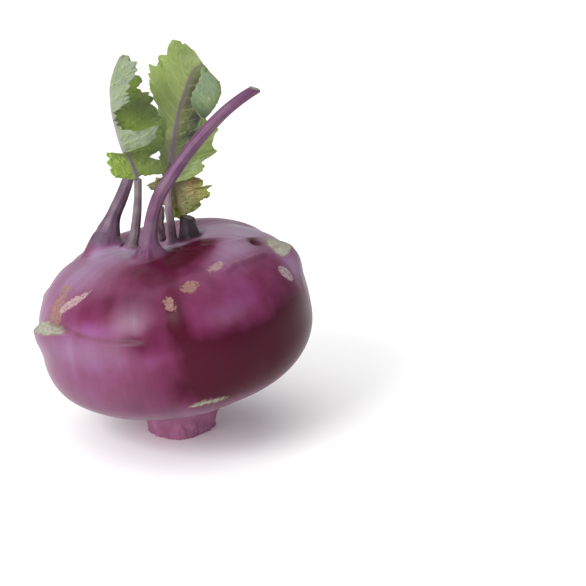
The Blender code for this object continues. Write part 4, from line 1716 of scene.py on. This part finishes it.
LEFT_LEAF = Blade(
    name="leaf_left",
    slot="leaf",
    midrib=(
        (-12.8, -0.5, 94.9), (-14.2, -1, 99.2), (-16, -1.5, 103.7), (-17.9, -2, 109.2),
        (-19.4, -2.6, 115.2), (-20.4, -3, 121.4), (-20.7, -3.2, 127.8), (-19.6, -3, 133.7),
        (-17.6, -2.5, 138.9),
    ),
    facing=((0, 80), (0.3, 88), (0.7, 90), (1, 80)),
    left=(
        (0, 1.6, -40, 0, 20), (0.04, 8.6, -44, -14, 20), (0.11, 10.6, -46, -16, 30),
        (0.18, 9.6, -44, -12, 44), (0.225, 1.8, 0, 0, 30), (0.25, 11.5, 58, 10, 6), (0.295, 16, 64, 18, 9),
        (0.335, 17.4, 66, 18, 15), (0.37, 9, 66, 10, 12), (0.42, 3.5, 66, 0, 20), (0.47, 2, 62, 0, 20),
        (0.56, 2.4, 60, 0, 16), (0.63, 7.8, 58, 12, 14), (0.72, 9, 60, 12, 20), (0.8, 10.4, 62, 10, 30),
        (0.87, 11, 66, 10, 36), (0.93, 7, 62, 5, 42), (0.97, 5, 60, 5, 46), (1, 1.6, 50, 0, 50),
    ),
    right=(
        (0, 1.5, 30, 0, 10), (0.05, 6.5, 46, 10, -32), (0.1, 12.2, 54, 16, -38), (0.14, 14.8, 54, 16, -30),
        (0.195, 9.5, 50, 16, -28), (0.27, 16, 50, 16, -24), (0.35, 17.6, 50, 16, -14),
        (0.45, 18.6, 50, 14, -7), (0.53, 17, 50, 10, -2), (0.6, 16.8, 50, 8, 5), (0.67, 13.2, 48, 6, 4),
        (0.74, 13.6, 46, 6, 10), (0.8, 10.6, 44, 6, 20), (0.86, 11, 42, 4, 24), (0.94, 6.5, 42, 0, 34),
        (1, 1.6, 42, 0, 50),
    ),
    rib=((0, 1.9), (0.3, 1.3), (0.8, 0.7), (1, 0.2)),
    wave=(1, 5.5), roll=(0.2, 1), tooth=1.5, rib_stain=1.7, seed=3,
    # The bright tints on the lobes are partly painted light, and the painted-shade ones darken the folds.
    tints=(
        LeafTint(LeafHue.BRIGHT, 0.42, 5, 0.13, 5, 0.9), LeafTint(LeafHue.BRIGHT, 0.72, 9, 0.1, 5, 0.7),
        LeafTint(LeafHue.BRIGHT, 0.08, -4, 0.12, 9, 0.7), LeafTint(LeafHue.DEEP, 0.56, 9, 0.05, 8, 0.5),
        LeafTint(LeafHue.DEEP, 0.22, 14, 0.04, 5, 0.5), LeafTint(LeafHue.DEEP, 0.1, 12, 0.05, 4, 0.4),
        LeafTint(LeafHue.BROWN, 0.99, -6, 0.05, 4, 0.5), LeafTint(LeafHue.DEEP, 0.3, -13, 0.09, 6, 0.25),
    ),
    veins=(0.06, 0.1, 0.14, 0.22, 0.3, 0.34, 0.48, 0.46, 0.58, 0.58, 0.68, 0.7, 0.78, 0.8, 0.87, 0.88),
)
MIDDLE_LEAF = Blade(
    name="leaf_middle",
    slot="leaf",
    midrib=(
        (-2.1, 5.2, 91.7), (-1.5, 6.2, 98.1), (-0.7, 7.2, 104.9), (0.5, 8.4, 111.5), (1.9, 9.4, 118.1),
        (3.8, 10.2, 123.7), (5.6, 10.8, 128.6), (7.8, 11, 132.1), (10.3, 10.6, 133.7),
    ),
    facing=((0, 5), (0.5, 0), (1, 0)),
    left=(
        (0, 1.6, 0, 0, 20), (0.05, 4, -20, 0, 24), (0.12, 5.6, -36, 4, 24), (0.2, 8.8, -36, 4, 36),
        (0.35, 10.6, -34, 8, 36), (0.44, 12.4, -30, 8, 36), (0.5, 15.4, -26, 8, 35),
        (0.55, 15.6, -26, 8, 30), (0.6, 16.8, -26, 8, 26), (0.66, 17.8, -24, 8, 25),
        (0.71, 14.4, -24, 6, 26), (0.76, 15.8, -24, 6, 27), (0.81, 13, -22, 6, 29),
        (0.86, 14.2, -20, 4, 31), (0.91, 12, -18, 4, 26), (0.96, 6.5, -16, 0, 10), (1, 1.6, -10, 0, 0),
    ),
    right=(
        (0, 1.8, 10, 0, 10), (0.03, 9.6, 14, 12, 14), (0.08, 13.2, 12, 12, 15), (0.105, 12.2, 10, 12, 18),
        (0.14, 16.4, 8, 14, 20), (0.18, 17.8, 8, 16, 22), (0.215, 16.6, 8, 20, 26), (0.26, 19.6, 6, 30, 30),
        (0.33, 17, 0, 60, 30), (0.42, 17.6, 0, 110, 26), (0.49, 21.5, 0, 170, 24), (0.58, 24, 0, 188, 20),
        (0.7, 24, 0, 192, 20), (0.8, 20.5, 0, 192, 20), (0.89, 13.5, 0, 188, 20), (0.95, 7, 0, 150, 20),
        (1, 1.6, 0, 40, 10),
    ),
    rib=((0, 1.9), (0.3, 1.4), (0.8, 0.8), (1, 0.2)),
    wave=(0.8, 5), roll=(0.42, 0.72), tooth=1.4, pucker=0.12, seed=8,
    # The brown tints right of the midrib are partly a brownish stain and partly painted shade in the hollow
    # under the rolled half; the painted-shade tints darken that hollow.
    tints=(
        LeafTint(LeafHue.BROWN, 0.7, 3.2, 0.3, 3.2, 1), LeafTint(LeafHue.DEEP, 0.48, 8, 0.14, 5.5, 1),
        LeafTint(LeafHue.DEEP, 0.66, 8, 0.16, 3.2, 1), LeafTint(LeafHue.DEEP, 0.32, 6.5, 0.15, 5.5, 1),
        LeafTint(LeafHue.DEEP, 0.14, 3.5, 0.1, 4, 0.9), LeafTint(LeafHue.DEEP, 0.22, -3, 0.12, 3, 0.4),
        LeafTint(LeafHue.BRIGHT, 0.72, -12, 0.25, 5, 0.25), LeafTint(LeafHue.DEEP, 0.2, 14, 0.2, 6, 0.25),
        LeafTint(LeafHue.DEEP, 0.9, -5, 0.12, 8, 0.22), LeafTint(LeafHue.BROWN, 0.3, 0, 0.3, 3, 0.5),
    ),
    veins=(0.1, 0.08, 0.22, 0.17, 0.36, 0.27, 0.47, 0.38, 0.57, 0.48, 0.66, 0.58, 0.74, 0.68, 0.82, 0.78),
)
SMALL_LEAF = Blade(
    name="leaf_small",
    slot="yellow_leaf",
    midrib=((-1, 7.2, 95.6), (0.1, 8.6, 92), (0.4, 8.2, 87.8), (1.5, 7.2, 83.6), (3.8, 6.2, 80.4)),
    facing=((0, 0), (1, 0)),
    left=(
        (0, 2, 0, 10, 0), (0.16, 8.5, 0, 20, -5), (0.24, 7, 0, 22, -5), (0.36, 10.5, 0, 24, -5),
        (0.46, 9.5, 0, 26, -5), (0.56, 13.8, 0, 28, -5), (0.64, 11.2, 0, 28, 0), (0.72, 12.4, 0, 28, 5),
        (0.84, 8.5, 0, 24, 15), (0.94, 5.5, 0, 16, 25), (1, 2, 0, 10, 30),
    ),
    right=(
        (0, 2, 0, 0, 0), (0.16, 8.5, -10, -10, 0), (0.24, 8, -10, -10, 0), (0.36, 11.6, -14, -16, 0),
        (0.45, 9, -14, -16, 5), (0.56, 10.6, -14, -16, 10), (0.66, 6.2, -12, -16, 12),
        (0.78, 6.4, -10, -10, 15), (1, 2, 0, 0, 30),
    ),
    rib=((0, 0.5), (1, 0.2)),
    wave=(1.1, 3), roll=(0.2, 1), tooth=1, pucker=0.35, rings=130, columns=60, seed=12,
    veins=(0.2, 0.2, 0.4, 0.36, 0.58, 0.55, 0.75, 0.72),
    tints=(
        LeafTint(LeafHue.BROWN, 0.35, -5, 0.3, 3.4, 0.95), LeafTint(LeafHue.DEEP, 0.5, 6, 0.12, 3, 0.6),
        LeafTint(LeafHue.BRIGHT, 0.75, 5, 0.3, 4, 0.7), LeafTint(LeafHue.BRIGHT, 0.55, -11, 0.4, 4, 0.8),
        LeafTint(LeafHue.DEEP, 0.6, 2, 0.3, 1.6, 0.5),
    ),
)


# ---------------------------------------------------------------- studio and camera


class LampKind(Enum):
    """The kinds of lamp in the studio."""

    PANEL = "AREA"
    CEILING = "SUN"


@dataclass(frozen=True)
class SoftLamp:
    """A lamp of soft light that looks at the middle of the kohlrabi.

    The size of a panel is the length of its side in millimetres, and that of the far ceiling is the
    angle that it fills in degrees. The power is in watts, or in watts per square metre.
    """

    name: str
    kind: LampKind
    place: tuple[float, float, float]
    size: float
    power: float
    aim: tuple[float, float, float] = (0.0, 0.0, 50.0)

    def build(self) -> None:
        """Adds the lamp."""
        bpy.ops.object.light_add(type=self.kind.value, location=Vector(self.place) * MM)
        lamp = bpy.context.object
        lamp.name = self.name
        lamp.data.energy = self.power
        if self.kind is LampKind.PANEL:
            lamp.data.size = self.size * MM
        else:
            lamp.data.angle = math.radians(self.size)
        way = Vector(self.aim) - Vector(self.place)
        lamp.rotation_euler = way.to_track_quat("-Z", "Y").to_euler()


@dataclass(frozen=True)
class Studio:
    """A pale floor under a dim even sky, with a soft panel at the upper left and a bright ceiling.

    The floor is matt painted board, which shows soft shadows and no reflection.
    """

    floor_colour: str = "#fdfdfd"
    floor_size: float = 40000.0
    sky_strength: float = 0.58
    lamps: tuple[SoftLamp, ...] = (
        SoftLamp("left_panel", LampKind.PANEL, (-640.0, -770.0, 640.0), 620.0, 13.0),
        SoftLamp("ceiling", LampKind.CEILING, (-250.0, 60.0, 1000.0), 90.0, 1.45),
    )

    def build(self) -> None:
        """Adds the floor, the sky and the lamps."""
        bpy.ops.mesh.primitive_plane_add(size=self.floor_size * MM)
        floor = start_piece("floor")
        material, _, shader = new_material("matt painted board")
        fill(shader, {"Base Color": linear(self.floor_colour), "Roughness": 0.6})
        floor.data.materials.append(material)
        for lamp in self.lamps:
            lamp.build()
        world = bpy.context.scene.world or bpy.data.worlds.new("sky")
        bpy.context.scene.world = world
        world.use_nodes = True
        sky = world.node_tree.nodes["Background"]
        fill(sky, {"Color": (1.0, 1.0, 1.0, 1.0), "Strength": self.sky_strength})
        bpy.context.scene.view_settings.view_transform = "Standard"


@dataclass(frozen=True)
class View:
    """A camera that looks at a point from the front and a little above."""

    target: tuple[float, float, float] = (41.83, 0.0, 52.06)
    distance: float = 703.2
    elevation: float = math.radians(20.0)
    lens: float = 120.0
    sensor: float = 36.0

    def build(self) -> None:
        """Adds the camera and makes it the scene's."""
        away = Vector((0.0, -math.cos(self.elevation), math.sin(self.elevation)))
        place = (Vector(self.target) + away * self.distance) * MM
        bpy.ops.object.camera_add(location=place, rotation=away.to_track_quat("Z", "Y").to_euler())
        camera = bpy.context.object
        camera.name = "camera"
        camera.data.lens = self.lens
        camera.data.sensor_width = self.sensor
        bpy.context.scene.camera = camera


def main() -> None:
    """Builds the kohlrabi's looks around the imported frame."""
    logging.basicConfig(level=logging.INFO, format="%(message)s")
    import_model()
    SwollenStem(SCARS, LINES, TINTS, HOLLOWS, SCUFFS, STALKS).build(WaxySkin().make())
    for stalk in STALKS:
        stalk.build(stalk.skin.make())
    LEFT_LEAF.build(GREEN_LEAF.make())
    MIDDLE_LEAF.build(OLIVE_LEAF.make())
    SMALL_LEAF.build(YELLOW_LEAF.make())
    CrownBud().build(DRIED_BUD.make())
    Studio().build()
    View().build()


if __name__ == "__main__":
    main()
